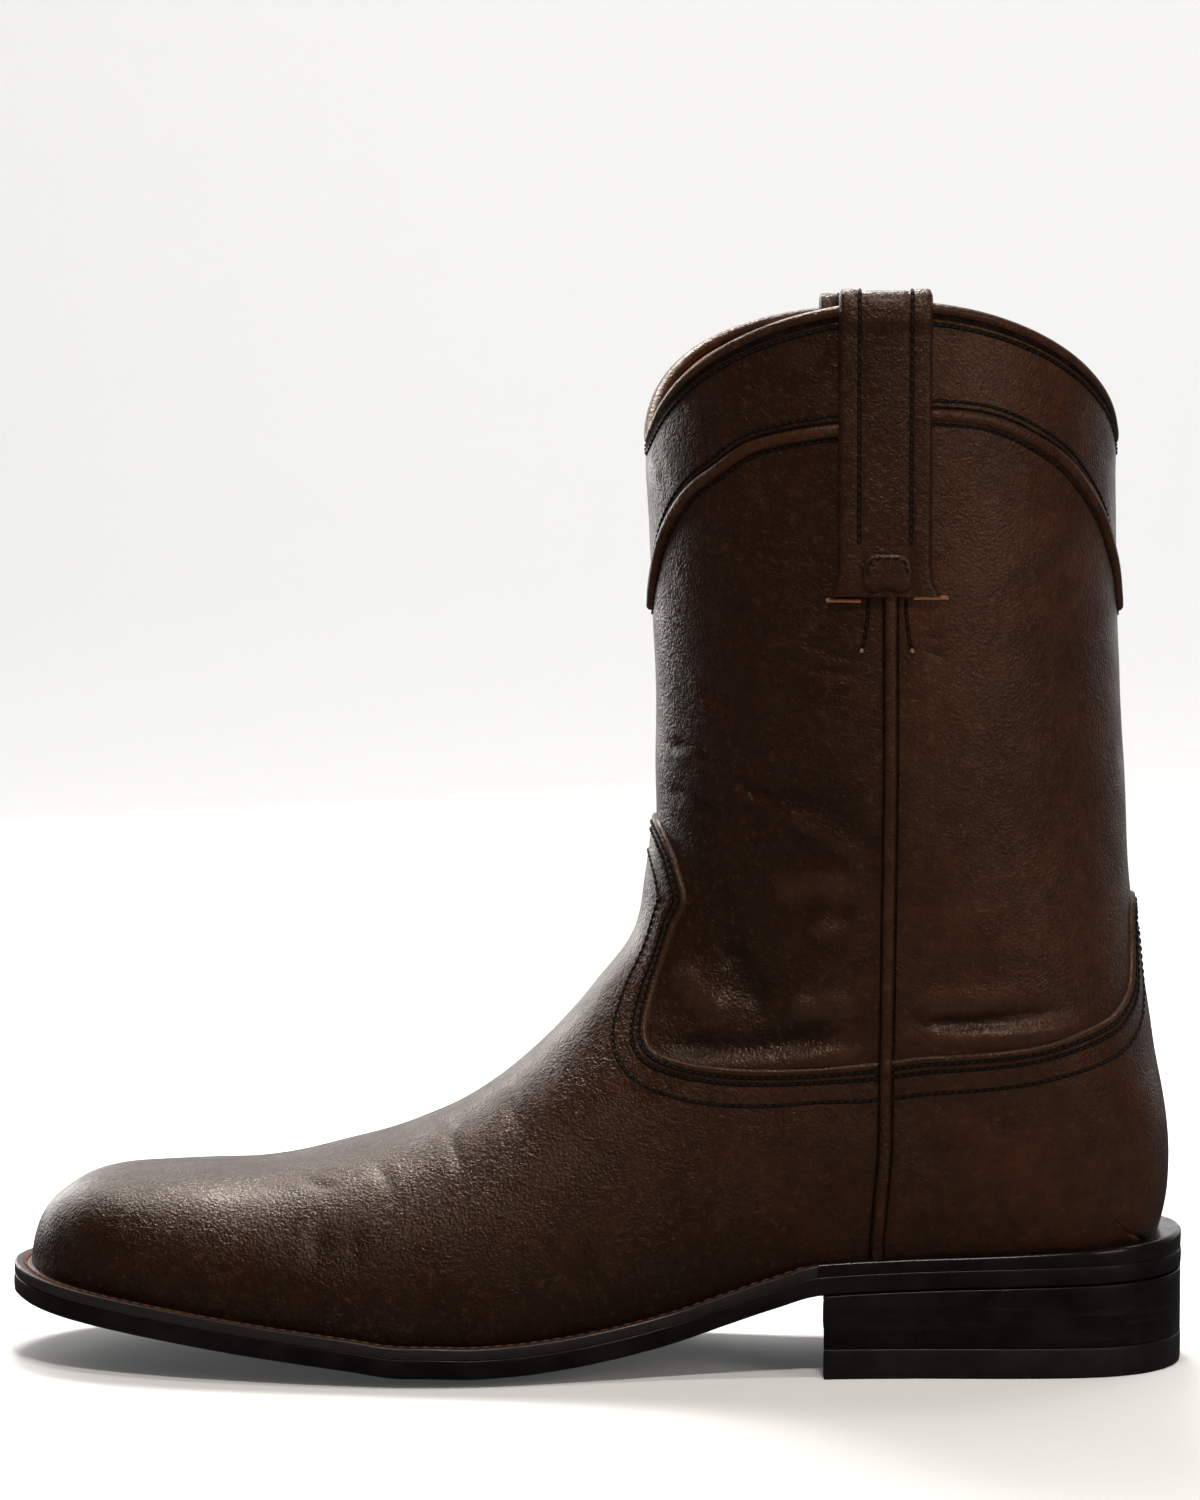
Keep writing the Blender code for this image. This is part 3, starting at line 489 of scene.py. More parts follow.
leatherLook = {
    "dark": (0.0064, 0.0027, 0.0014), "brown": (0.040, 0.0126, 0.0054), "red": (0.056, 0.0148, 0.0058),
    "olive": (0.0265, 0.0098, 0.0043), "paleSpeckAndRidgeHighlight": (0.090, 0.042, 0.022), "cut": (0.060, 0.032, 0.018),
    "roughness": 0.33, "specular": 0.30, "tint": (1.0, 0.76, 0.58), "coat": 0.04, "coatRoughness": 0.22,
    "patchScale": 17.0, "blushScale": 31.0, "mottleScale": 160.0, "mottle": 0.45, "speck": 0.35,
    "paintedLowShade": 0.62, "paintedLowShadeFrom": 0.012, "paintedLowShadeTo": 0.055, "foldLight": 0.12, "paintedTroughShade": 0.45,
    "grain": 0.00016, "grainScale": 1150.0, "crinkle": 0.00030, "crinkleScale": 420.0,
    "creases": 0.00012, "creaseScale": 460.0,
}


def leather(name, warm=0.5, folds=True, shade=None):
    look = leatherLook
    box = paintbox(name)
    patches = box.span(box.noise(look["patchScale"], 3.0, 0.55, 0.4), 0.36, 0.66)
    tone = box.mix(patches, look["olive"], look["brown"])
    blush = box.span(box.noise(look["blushScale"], 4.0, 0.6, 0.8), 0.50, 0.74, (0.0, warm))
    tone = box.mix(blush, tone, look["red"])
    mottle = box.span(box.noise(look["mottleScale"], 5.0, 0.65), 0.30, 0.72)
    tone = box.mix(box.maths("MULTIPLY", mottle, look["mottle"]), tone, look["dark"])
    if shade:  # places along X between which the leather is darker, and how much; on the vamp and the shaft this is painted shade
        wander = box.span(box.noise(22.0, 2.0), 0.3, 0.7, (-0.008, 0.008))
        wander = box.maths("ADD", box.part("X"), wander)
        tone = box.mix(box.span(wander, shade[0], shade[1], (shade[2], 0.0)), tone, look["dark"])
    # painted shade: the leather darker towards the bottom, near the welt
    paintedLowShade = box.span(box.part("Z"), look["paintedLowShadeFrom"], look["paintedLowShadeTo"], (look["paintedLowShade"], 0.0))
    tone = box.mix(paintedLowShade, tone, look["dark"])
    pores = box.add("ShaderNodeTexVoronoi", feature="F1", Vector=box.coords, Scale=look["grainScale"],
                    Randomness=1.0)
    pits = box.span(pores.outputs["Distance"], 0.15, 0.75)
    speck = box.noise(look["grainScale"] * 0.45, 4.0, 0.7)
    tone = box.mix(box.maths("MULTIPLY", box.span(speck, 0.52, 0.78), look["speck"]), tone, look["paleSpeckAndRidgeHighlight"])
    if folds:
        fold = box.attribute("fold")
        # painted highlight on the folds' ridges and painted shade in their troughs; the pale colour also
        # serves the grain's specks
        tone = box.mix(box.span(fold, 0.05, 0.9, (0.0, look["foldLight"])), tone, look["paleSpeckAndRidgeHighlight"])
        tone = box.mix(box.span(fold, -0.05, -0.8, (0.0, look["paintedTroughShade"])), tone, look["dark"])
        tone = box.mix(box.attribute("rub"), tone, look["cut"])
    rough = box.uneven(box.noise(90.0, 4.0, 0.6), -0.06, 0.09, look["roughness"])
    height = box.maths("ADD", box.maths("MULTIPLY", pits, -0.55), box.maths("MULTIPLY", speck, 0.9))
    crease = box.maths("SUBTRACT", box.noise(look["creaseScale"], 3.0, 0.55, 0.6), 0.5)
    crease = box.span(box.maths("ABSOLUTE", crease), 0.0, 0.07)
    crease = box.maths("MULTIPLY", crease, box.span(box.noise(48.0, 3.0), 0.34, 0.62, (0.30, 1.0)))
    normal = box.bump(box.noise(look["crinkleScale"], 5.0, 0.62, 0.5), look["crinkle"], 0.6)
    normal = box.bump(crease, look["creases"], 0.75, normal)
    normal = box.bump(height, look["grain"], 0.85, normal)
    return box.finish(Base_Color=tone, Roughness=rough, Normal=normal, Coat_Weight=look["coat"],
                      Coat_Roughness=look["coatRoughness"], IOR=1.48, Specular_IOR_Level=look["specular"],
                      Specular_Tint=look["tint"])


def plainLook(name, tone, other, scale, roughness, bumpScale, bumpHeight, coat=0.0, specular=0.30):
    box = paintbox(name)
    colour = box.mix(box.span(box.noise(scale, 4.0, 0.6), 0.3, 0.7), tone, other)
    normal = box.bump(box.noise(bumpScale, 5.0, 0.65), bumpHeight, 0.8)
    rough = box.uneven(box.noise(scale * 3, 3.0), -0.07, 0.07, roughness)
    return box.finish(Base_Color=colour, Roughness=rough, Normal=normal, Coat_Weight=coat,
                      Coat_Roughness=0.15, Specular_IOR_Level=specular)


# painted shade: the vamp darker towards the toe
vampLeather = leather("vampLeather", 0.55, True, (-0.090, 0.010, 0.36))
# painted shade: the shaft darker towards its front
shaftLeather = leather("shaftLeather", 0.50, True, (-0.052, -0.020, 0.62))
trimLeather = leather("trimLeather", 0.35, False)
strapLeather = leather("strapLeather", 0.35, False, (0.3, 0.4, 0.45))
liningLeather = plainLook("liningLeather", (0.50, 0.24, 0.085), (0.40, 0.175, 0.055), 60.0, 0.62,
                          900.0, 0.00012)
blackRubber = plainLook("blackRubber", (0.0045, 0.0042, 0.0040), (0.0090, 0.0082, 0.0076), 90.0, 0.46,
                        500.0, 0.00010, 0.05)
print("finishes ready")


# Skin, with its folds

finest = 0.00105
basePoints, skinOuts, skinFaces = skinGrid(finest, 0.0016)
smoothTree = treeOf(basePoints, skinFaces)
# side of the boot, width and height of the fold (a trough is negative), then points along and up it,
# all in millimetres
folds = (
    (-1, 2.3, 1.76, (74.4, 90), (65.4, 90.3), (55.1, 90.6), (44.8, 91.1), (34.4, 92.4), (25.5, 94.7)),
    (-1, 2.1, -1.55, (75.7, 93.9), (65.4, 93.8), (55.2, 94.3), (45.1, 95.6), (34.6, 96.9)),
    (-1, 3.4, 1.02, (74.6, 99.7), (64.4, 100.3), (52.9, 100.4), (42.5, 102.3)),
    (-1, 2.6, 1.44, (139.2, 82.2), (129.8, 81.8), (119.3, 82), (106.4, 83), (93.5, 84.8), (83.3, 86.6)),
    (-1, 2.8, -1.36, (137.9, 86.7), (127.2, 86.6), (114.1, 86.8), (101.2, 88.6), (88.4, 90.6)),
    (-1, 4.2, 1.44, (133, 108), (129.7, 101.6), (123.9, 97.2), (119.9, 91)),
    (-1, 4.0, -1.36, (121, 112), (118, 108.2), (114.1, 102.1), (110.2, 95.2)),
    (-1, 3.6, 1.36, (106, 96.6), (99.7, 97.4), (93.6, 98.1), (86, 99.4)),
    (-1, 4.2, 1.10, (101.3, 117.3), (95, 118.3), (88.6, 117.7)),
    (-1, 3.4, -0.94, (105, 121.8), (95, 122.2), (87, 121.2)),
    (-1, 5.0, 0.77, (109, 124.4), (98.8, 127.9), (86.1, 129.5)),
    (-1, 3.4, -0.68, (110, 153), (104, 151.5), (93.8, 148), (83.6, 140.5), (80, 136.2)),
    (-1, 3.0, 0.65, (108.5, 147), (101, 144), (93, 140), (85, 134)),
    (-1, 3.0, -0.59, (106.5, 142.4), (96.3, 137), (85.6, 130)),
    (-1, 1.7, -0.71, (135.7, 163.2), (129.8, 162), (124, 158.7)),
    (-1, 1.9, 0.58, (135, 160.8), (130, 159.4), (125, 156.2)),
    (-1, 1.6, -0.68, (118, 155.1), (113.7, 152.3), (107.8, 151.8)),
    (-1, 1.9, 0.54, (119, 152.8), (114, 150), (108.5, 149.4)),
    (-1, 1.8, -0.61, (136.8, 151), (129.8, 149.6), (121.9, 144.8)),
    (-1, 1.5, -0.44, (127.2, 178.3), (120.7, 174.9), (115.5, 173.4)),
    (-1, 2.4, -0.26, (139.6, 241.2), (138.5, 237.8), (135.8, 234.2)),
    (-1, 2.4, -0.24, (139, 233.7), (136.9, 231.5), (134.7, 227.8)),
    (-1, 1.1, -0.44, (74.2, 190.6), (68.7, 189.6), (63.6, 187)),
    (-1, 1.1, -0.41, (74.2, 192.7), (68.7, 193.2), (64.1, 192.6)),
    (-1, 1.3, -0.44, (99.5, 190.4), (92.7, 188.7), (85.8, 187.1)),
    (-1, 1.3, -0.41, (101.5, 185.2), (92.7, 184.4), (84.8, 183.5)),
    (-1, 5.5, -0.77, (230, 35.5), (221, 34.5), (211, 35.2)),
    (-1, 2.0, -0.37, (233, 50), (226.5, 47.8), (220, 48)),
    (-1, 2.0, -0.34, (212, 54.5), (208, 50), (205, 45)),
    (-1, 1.8, -0.48, (196, 65), (191, 59), (188, 52)),
    (-1, 2.2, -0.42, (181, 77), (176, 70), (172.5, 62)),
    (1, 3.2, 0.95, (72, 89.5), (60, 90.2), (45, 91.5), (32, 93.5)),
    (1, 2.8, -0.95, (74, 94), (61, 94.2), (46, 95.6), (33, 97.2)),
    (1, 2.8, 0.80, (137, 82.2), (122, 82), (105, 83.2), (87, 85.2)),
    (1, 3.0, -0.85, (135, 87.2), (120, 87), (104, 88.4), (88, 90.2)),
    (1, 4.0, 0.75, (130, 106), (122, 100), (116, 93)),
    (1, 3.8, -0.70, (119, 111), (112, 104), (106, 97)),
    (1, 4.4, 0.55, (106, 119), (96, 120.5), (88, 119.5)),
    (1, 3.2, -0.38, (108, 152), (96, 147.5), (85, 140)),
    (1, 1.8, -0.38, (134, 160), (127, 158), (120, 154.5)),
    (1, 2.0, -0.34, (42, 148), (50, 144), (60, 143.5)),
    (1, 4.6, -0.65, (226, 37.5), (218, 37), (209, 39.2)),
    (1, 3.8, 0.45, (227, 44.5), (218, 43.8), (208, 46)),
    (1, 2.0, -0.30, (201, 56), (196, 50), (192, 44)),
)
foldShape = {"reach": 3, "taper": 0.28, "endShare": 0.15, "wander": 0.25, "wanderTurn": 9.0}
waves = {"height": 0.00034, "scale": (26.0, 26.0, 40.0), "fineHeight": 0.00011, "fineScale": 95.0}


def foldedSkin():
    shape = foldShape
    rise = np.zeros(len(basePoints))
    for side, width, depth, *line in folds:
        width, depth = width / 1000, depth / 1000
        smooth = curveThrough(np.array(line) / 1000, np.linspace(0, len(line) - 1, 10 * len(line)))
        spots = [onSide(smoothTree, along, up, side) for along, up in smooth]
        spots = np.array([spot for spot in spots if spot.shape])
        reach = shape["reach"] * width
        low, high = spots.min(axis=0) - reach, spots.max(axis=0) + reach
        within = ((basePoints > low) & (basePoints < high)).all(axis=1) & (basePoints[:, 1] * side > 0)
        near = np.nonzero(within)[0]
        gaps = np.linalg.norm(basePoints[near, None] - spots[None], axis=2)
        which = gaps.argmin(axis=1)
        gap = gaps[np.arange(len(near)), which]
        travel = which / (len(spots) - 1)
        ends = np.clip(np.minimum(travel, 1 - travel) / shape["taper"], 0, 1)
        ends = shape["endShare"] + (1 - shape["endShare"]) * ends * ends * (3 - 2 * ends)
        wander = 1 + shape["wander"] * np.sin(travel * shape["wanderTurn"] + depth * 9000)
        rise[near] += depth * ends * wander * np.exp(-(gap / width) ** 2)
    for i, p in enumerate(basePoints):
        rise[i] += waves["height"] * noise.noise(Vector(p * waves["scale"]))
        rise[i] += waves["fineHeight"] * noise.noise(Vector(p) * waves["fineScale"])
    return rise


foldDepth = foldedSkin()
skinPoints = basePoints + skinOuts * foldDepth[:, None]
skinTree = treeOf(skinPoints, skinFaces)
print("skin", len(skinPoints), "points")

# Edge of the vamp and counter: degrees from the front and height for the tongue and the back's peak,
# along and up for the sides
cutEdge = {
    "tongue": ((0, 0.1436), (6, 0.1428), (11, 0.1410), (18.5, 0.1354), (23.5, 0.1280), (26.8, 0.1222)),
    "sides": ((0.1330, 0.1178), (0.1354, 0.1105), (0.1386, 0.1012), (0.1402, 0.0945), (0.1413, 0.0891),
              (0.1396, 0.0847), (0.1306, 0.0822), (0.1161, 0.0811), (0.1040, 0.0812), (0.0920, 0.0821),
              (0.0805, 0.0834), (0.0707, 0.0852), (0.0566, 0.0862), (0.0438, 0.0875), (0.0308, 0.0906),
              (0.0209, 0.0940)),
    "backPeak": ((163.5, 0.1000), (167.5, 0.1078), (171.3, 0.1191), (176, 0.1228), (180, 0.1239)),
    "step": 0.0012, "shoulder": 0.0009, "rimDepth": 0.0003, "rows": (0.0021, 0.0041), "rowWidth": 0.0006,
    "rowGroove": 0.00022, "rub": 0.30, "rubPlace": 0.0002, "rubWidth": 0.00045, "rimRub": 0.10,
    "secondCut": 0.0006, "underlap": 0.006, "points": 1000, "softening": 60,
}
sideSeam = ((0.0814, 0.0364), (0.0793, 0.0601), (0.0788, 0.1087), (0.0784, 0.1570), (0.0786, 0.2003),
            (0.0790, 0.2860))


def edgeLoop(tree):
    halves = []
    for side in (-1, 1):
        line = [onShaft(tree, -side * d, up) for d, up in cutEdge["tongue"]]
        line += [onSide(tree, along, up, side) for along, up in cutEdge["sides"]]
        line += [onShaft(tree, -side * d, up) for d, up in cutEdge["backPeak"]]
        halves.append(line)
    whole = evenLine(halves[0] + halves[1][-2:0:-1], cutEdge["points"], True)
    return laidOn(tree, softened(whole, cutEdge["softening"], True))


def collarUp(points):  # the dip at the front lies a little towards the outside, and the inside is lower
    turn = np.arctan2(-points[:, 1], ground["heelLength"] / 2 - shaftMiddle - points[:, 0])
    turned = turn - math.radians(form["collarTurn"]) * (1 + np.cos(turn)) / 2
    rise = np.hypot(np.sin(turned), form["collarRounding"]) / math.hypot(1, form["collarRounding"])
    dip = form["collarDip"] * (1 - rise ** form["collarFullness"])
    return collarTop - dip - form["insideDrop"] * np.clip(-np.sin(turn), 0, 1) ** 3


def seamAlong(up):
    rows = np.array(sideSeam)
    return np.interp(up, rows[:, 1], rows[:, 0])


edgePoints, edgeOuts = edgeLoop(skinTree)
inOverlay = -signedDistance(skinPoints, edgePoints, edgeOuts, True)
aheadOfSeam = ground["heelLength"] / 2 - skinPoints[:, 0] - seamAlong(skinPoints[:, 2])
underCollar = collarUp(skinPoints) - skinPoints[:, 2]
# columns: 0 to 2 place, 3 to 5 outward direction, 6 inside the edge, 7 ahead of the seam, 8 under the collar,
# 9 fold depth in millimetres
skinData = np.column_stack([skinPoints, skinOuts, inOverlay, aheadOfSeam, underCollar, foldDepth * 1000])
skinFaceList = [tuple(f) for f in skinFaces.tolist()]


def overlayRise(data):
    inside = data[:, 6]
    t = np.clip(inside / cutEdge["shoulder"], 0, 1)
    rise = cutEdge["step"] * (0.40 + 0.60 * np.sqrt(1 - (1 - t) ** 2))
    for row in cutEdge["rows"]:
        rise -= cutEdge["rowGroove"] * np.exp(-((inside - row) / cutEdge["rowWidth"]) ** 2)
    return rise


def panelMesh(name, data, faces, rim, rise, rimDepth):
    data, faces, new = onlyUsed(data, faces)
    points = data[:, 0:3] + data[:, 3:6] * rise(data)[:, None]
    fromRub = (data[:, 6] - cutEdge["rubPlace"]) / cutEdge["rubWidth"]
    rubbed = np.exp(-fromRub ** 2) * cutEdge["rub"] * (data[:, 6] > -0.0005)
    fold = data[:, 9]
    low, walls = {}, []
    rows = []
    for a, b in rim:
        if a not in new or b not in new:
            continue
        for i in (a, b):
            if i not in low:
                low[i] = len(points) + len(rows)
                rows.append(data[new[i], 0:3] - data[new[i], 3:6] * rimDepth)
        walls.append((new[b], new[a], low[a], low[b]))
    if rows:
        points = np.vstack([points, rows])
        rubbed = np.concatenate([rubbed, np.full(len(rows), cutEdge["rimRub"])])
        fold = np.concatenate([fold, np.zeros(len(rows))])
    return meshFrom(name, points, faces + walls, {"fold": fold, "rub": rubbed})


data, faces, _ = cutAlong(skinData, skinFaceList, skinData[:, 6] - cutEdge["secondCut"], True)
data, faces, rim = cutAlong(data, faces, 6)
for name, ahead in (("vamp", data[:, 7]), ("counter", -data[:, 7])):
    panelData, panelFaces, _ = cutAlong(data, faces, ahead)
    mesh = panelMesh(name, panelData, panelFaces, rim, overlayRise, cutEdge["rimDepth"])
    addPiece(name, mesh, vampLeather, "upper_leather", "upper")
    print(name, len(mesh.polygons), "faces")

data, faces, _ = cutAlong(skinData, skinFaceList, cutEdge["underlap"] - skinData[:, 6])
data, faces, rim = cutAlong(data, faces, 8)
mesh = panelMesh("shaft", data, faces, rim, lambda d: np.zeros(len(d)), form["wall"])
addPiece("shaft", mesh, shaftLeather, "upper_leather", "upper")
print("shaft", len(mesh.polygons), "faces")

points, outs, faces = skinGrid(0.0024, -0.0004)
data = np.column_stack([points - outs * form["wall"], collarUp(points) - points[:, 2]])
data, faces, _ = cutAlong(data, [tuple(f[::-1]) for f in faces.tolist()], 3)
data, faces, _ = onlyUsed(data, faces)
addPiece("lining", meshFrom("lining", data[:, 0:3], faces), liningLeather, "insole_leather", "upper")


# Sweeps and stitches

def sweptMesh(name, rings, closed=False, **settings):  # rings: steps, profile points, 3
    rings = np.asarray(rings, dtype=float)
    steps, count = rings.shape[:2]
    faces = []
    for i in range(steps if closed else steps - 1):
        k = (i + 1) % steps
        for j in range(count):
            n = (j + 1) % count
            faces.append((i * count + j, i * count + n, k * count + n, k * count + j))
    if not closed:
        faces.append(tuple(range(count)))
        faces.append(tuple((steps - 1) * count + j for j in reversed(range(count))))
    return meshFrom(name, rings.reshape(-1, 3), faces, sharp=50, **settings)


def sweptAlong(name, points, outs, profile, closed=False):
    across = acrossLine(points, outs, closed)
    profile = np.asarray(profile)
    rings = points[:, None] + across[:, None] * profile[None, :, 0:1] + outs[:, None] * profile[None, :, 1:2]
    return sweptMesh(name, rings, closed)


def joinedMesh(name, meshes):
    bm = bmesh.new()
    for mesh in meshes:
        bm.from_mesh(mesh)
        bpy.data.meshes.remove(mesh)
    whole = bpy.data.meshes.new(name)
    bm.to_mesh(whole)
    bm.free()
    whole.shade_smooth()
    return whole


def roundProfile(width, height, count=14, sink=0.0003, full=2.4):
    turn = np.linspace(0, math.pi, count)
    x = -np.sign(np.cos(turn)) * np.abs(np.cos(turn)) ** (2 / full) * width / 2
    y = np.sin(turn) ** (2 / full) * height
    return [(-width / 2, -sink)] + list(zip(x, y)) + [(width / 2, -sink)]


def stitchMesh(size, thick, dip):  # one thread stitch, bowed, with its ends pulled into the leather
    turns = np.linspace(0, 2 * math.pi, 6, endpoint=False)
    rings = []
    for p in np.linspace(-1, 1, 6):
        fat = thick / 2 * (0.55 + 0.45 * math.sqrt(max(0.0, 1 - p * p)))
        sink = dip * abs(p) ** 2.5
        rings.append([(p * size / 2, math.cos(t) * fat, math.sin(t) * fat - sink) for t in turns])
    return sweptMesh("stitch", rings)


def stitchTree():  # a row of stitches along a line that carries its outward direction
    tree = bpy.data.node_groups.new("stitchRow", "GeometryNodeTree")
    for label, kind in (("Line", "Geometry"), ("Pitch", "Float"), ("Lean", "Float"), ("Unevenness", "Float"),
                        ("Seed", "Int"), ("Stitch", "Object"), ("Thread", "Material")):
        tree.interface.new_socket(label, in_out="INPUT", socket_type="NodeSocket" + kind)
    tree.interface.new_socket("Stitches", in_out="OUTPUT", socket_type="NodeSocketGeometry")

    def add(kind, **inputs):
        return addNode(tree, kind, **inputs).outputs

    start = add("NodeGroupInput")
    curve = add("GeometryNodeMeshToCurve", i0=start["Line"])
    sample = add("GeometryNodeResampleCurve", mode="LENGTH", Curve=curve[0], Length=start["Pitch"])
    tangent = add("GeometryNodeInputTangent")
    outward = add("GeometryNodeInputNamedAttribute", data_type="FLOAT_VECTOR", Name="outward")
    along = add("FunctionNodeAlignRotationToVector", axis="X", Vector=tangent[0])
    upright = add("FunctionNodeAlignRotationToVector", axis="Z", pivot_axis="X", Rotation=along[0],
                  Vector=outward["Attribute"])
    least = add("ShaderNodeMath", operation="MULTIPLY", i0=start["Unevenness"], i1=-1.0)
    wobble = add("FunctionNodeRandomValue", data_type="FLOAT", i2=least[0], i3=start["Unevenness"],
                 Seed=start["Seed"])
    total = add("ShaderNodeMath", i0=start["Lean"], i1=wobble[1])
    turnBy = add("ShaderNodeCombineXYZ", Z=total[0])
    rotation = add("FunctionNodeEulerToRotation", i0=turnBy[0])
    lean = add("FunctionNodeRotateRotation", rotation_space="LOCAL", Rotation=upright[0],
               Rotate_By=rotation[0])
    thread = add("GeometryNodeObjectInfo", Object=start["Stitch"])
    put = add("GeometryNodeInstanceOnPoints", Points=sample[0], Rotation=lean[0], Instance=thread["Geometry"])
    realise = add("GeometryNodeRealizeInstances", i0=put[0])
    paint = add("GeometryNodeSetMaterial", Geometry=realise[0], Material=start["Thread"])
    add("NodeGroupOutput", Stitches=paint[0])
    return tree


rowTree = stitchTree()


def stitchRows(name, lines, settings, thread, slot):  # lines: (points, outs, closed)
    points, outs, edges = [], [], []
    for line, out, closed in lines:
        first = len(points)
        points += [tuple(p + o * settings["proud"]) for p, o in zip(line, out)]
        outs += [tuple(o) for o in out]
        edges += [(first + i, first + i + 1) for i in range(len(line) - 1)]
        if closed:
            edges.append((first + len(line) - 1, first))
    mesh = bpy.data.meshes.new(name + "Lines")
    mesh.from_pydata(points, edges, [])
    layer = mesh.attributes.new("outward", "FLOAT_VECTOR", "POINT")
    layer.data.foreach_set("vector", np.array(outs, dtype=np.float32).ravel())
    holder = linked(name + "Lines", mesh)
    single = linked(name + "Stitch", stitchMesh(settings["size"], settings["thick"], settings["dip"]))
    row = holder.modifiers.new("Stitches", "NODES")
    row.node_group = rowTree
    ids = {item.name: item.identifier for item in rowTree.interface.items_tree if item.in_out == "INPUT"}
    for label, value in (("Pitch", settings["pitch"]), ("Lean", math.radians(settings["lean"])),
                         ("Unevenness", math.radians(settings["unevenness"])), ("Seed", settings["seed"]),
                         ("Stitch", single), ("Thread", thread)):
        row[ids[label]] = value
    bpy.context.view_layer.update()
    made = bpy.data.meshes.new_from_object(holder.evaluated_get(bpy.context.evaluated_depsgraph_get()))
    made.name = name
    made.shade_smooth()
    for spare in (holder, single):
        spareMesh = spare.data
        bpy.data.objects.remove(spare)
        bpy.data.meshes.remove(spareMesh)
    return addPiece(name, made, thread, slot)


def threadLook(name, tone, other):
    box = paintbox(name)
    ply = box.add("ShaderNodeTexWave", wave_type="BANDS", bands_direction="DIAGONAL", Vector=box.coords,
                  Scale=900.0, Distortion=3.0, Detail=2.0).outputs["Fac"]
    return box.finish(Base_Color=box.mix(ply, tone, other), Roughness=0.60,
                      Normal=box.bump(ply, 0.00008, 0.8), Specular_IOR_Level=0.15)


blackThread = threadLook("blackThread", (0.0022, 0.0016, 0.0014), (0.012, 0.0075, 0.005))
tanThread = threadLook("tanThread", (0.075, 0.030, 0.012), (0.20, 0.085, 0.032))
# near-black strips that stand for the shade in seam grooves and stitch channels
seamShadeLook = plainLook("paintedSeamShade", (0.0024, 0.0013, 0.0009), (0.0085, 0.0042, 0.0026), 300.0, 0.70,
                       900.0, 0.00008, 0.0, 0.05)
rawLook = plainLook("rawLeatherEdge", (0.26, 0.095, 0.028), (0.12, 0.042, 0.014), 700.0, 0.75,
                    1600.0, 0.00018)

fineStitch = {
    "pitch": 0.0021, "size": 0.0018, "thick": 0.00066, "dip": 0.00024, "proud": 0.00014, "lean": 5.0,
    "unevenness": 4.0, "seed": 3,
}
bedSettings = {"edge": 0.00001, "crown": 0.00007, "sink": 0.0002}
darkRows, grooves = [], []


def sewnRow(points, outs, closed=False, bed=0.0011):  # keeps a stitched line and its dark bed, a near-black strip of painted shade under the stitches
    darkRows.append((points, outs, closed))
    if bed:
        half, edge, sink = bed / 2, bedSettings["edge"], bedSettings["sink"]
        profile = ((-half, -sink), (-half, edge), (0.0, bedSettings["crown"]), (half, edge), (half, -sink))
        grooves.append(sweptAlong("groove", points, outs, profile, closed))


# a near-black strip of painted shade along a seam, where its groove would lie in shade
def shadeStripAlong(points, outs, half, height, sink=bedSettings["sink"], closed=False):
    profile = ((-half, -sink), (-half, height), (half, height), (half, -sink))
    grooves.append(sweptAlong("groove", points, outs, profile, closed))


# Collar

collarSettings = {
    "binding": 0.00150, "bindingWide": 0.00172, "points": 420, "stitchDrop": 0.0022, "stitchPoints": 500,
    "stitchBed": 0.0012, "ditchDrop": 0.0003, "ditchHalf": 0.0006, "ditchHeight": 0.0001,
}


def collarLine(drop, count):
    outside = []
    for i in range(count):
        turn = 360.0 * i / count
        spot = onShaft(skinTree, turn, collarTop - form["collarDip"] / 2)
        up = float(collarUp(spot[None])[0]) - drop
        outside.append(onShaft(skinTree, turn, up))
    return laidOn(skinTree, np.array(outside))


rimPoints, rimOuts = collarLine(0.0, collarSettings["points"])
run = np.roll(rimPoints, -1, axis=0) - np.roll(rimPoints, 1, axis=0)
flatOut = rimOuts * (1, 1, 0)
flatOut /= np.linalg.norm(flatOut, axis=1)[:, None]
rise = np.cross(run, flatOut)
rise *= np.sign(rise[:, 2:3]) / np.linalg.norm(rise, axis=1)[:, None]
bindCentre = rimPoints - flatOut * form["wall"] / 2 + rise * (collarSettings["binding"] + 0.0001)
turns = np.linspace(0, 2 * math.pi, 16, endpoint=False)
wide = flatOut[:, None] * (np.cos(turns) * collarSettings["bindingWide"])[None, :, None]
high = rise[:, None] * (np.sin(turns) * collarSettings["binding"])[None, :, None]
rings = bindCentre[:, None] + wide + high
mesh = sweptMesh("collarBinding", rings, True)
addPiece("collarBinding", mesh, trimLeather, "binding_leather", "collar_binding")
points, outs = collarLine(collarSettings["stitchDrop"], collarSettings["stitchPoints"])
sewnRow(points, outs, True, collarSettings["stitchBed"])
points, outs = collarLine(collarSettings["ditchDrop"], collarSettings["stitchPoints"])
shadeStripAlong(points, outs, collarSettings["ditchHalf"], collarSettings["ditchHeight"], closed=True)


# Yoke: degrees from the middle of front or back, and height

yokeSettings = {
    "front": ((0, 0.1983), (4, 0.1992), (9.5, 0.2060), (15.5, 0.2139), (23.5, 0.2221), (32.9, 0.2300),
              (41.4, 0.2349), (51.2, 0.2407), (63.9, 0.2439), (76.7, 0.2457), (82, 0.2460)),
    "back": ((0, 0.1983), (4, 0.1996), (8.7, 0.2074), (13.6, 0.2136), (20.7, 0.2225), (29.1, 0.2303),
             (38.5, 0.2378), (47.7, 0.2426), (56.4, 0.2463), (66.3, 0.2487), (78.3, 0.2495), (82, 0.2496)),
    "width": 0.0031, "height": 0.0016, "rowBelow": 0.0024, "rowAbove": 0.0036, "rowBed": 0.0009,
    "ditchAbove": 0.0019, "ditchHalf": 0.0004, "ditchHeight": 0.00006,
}


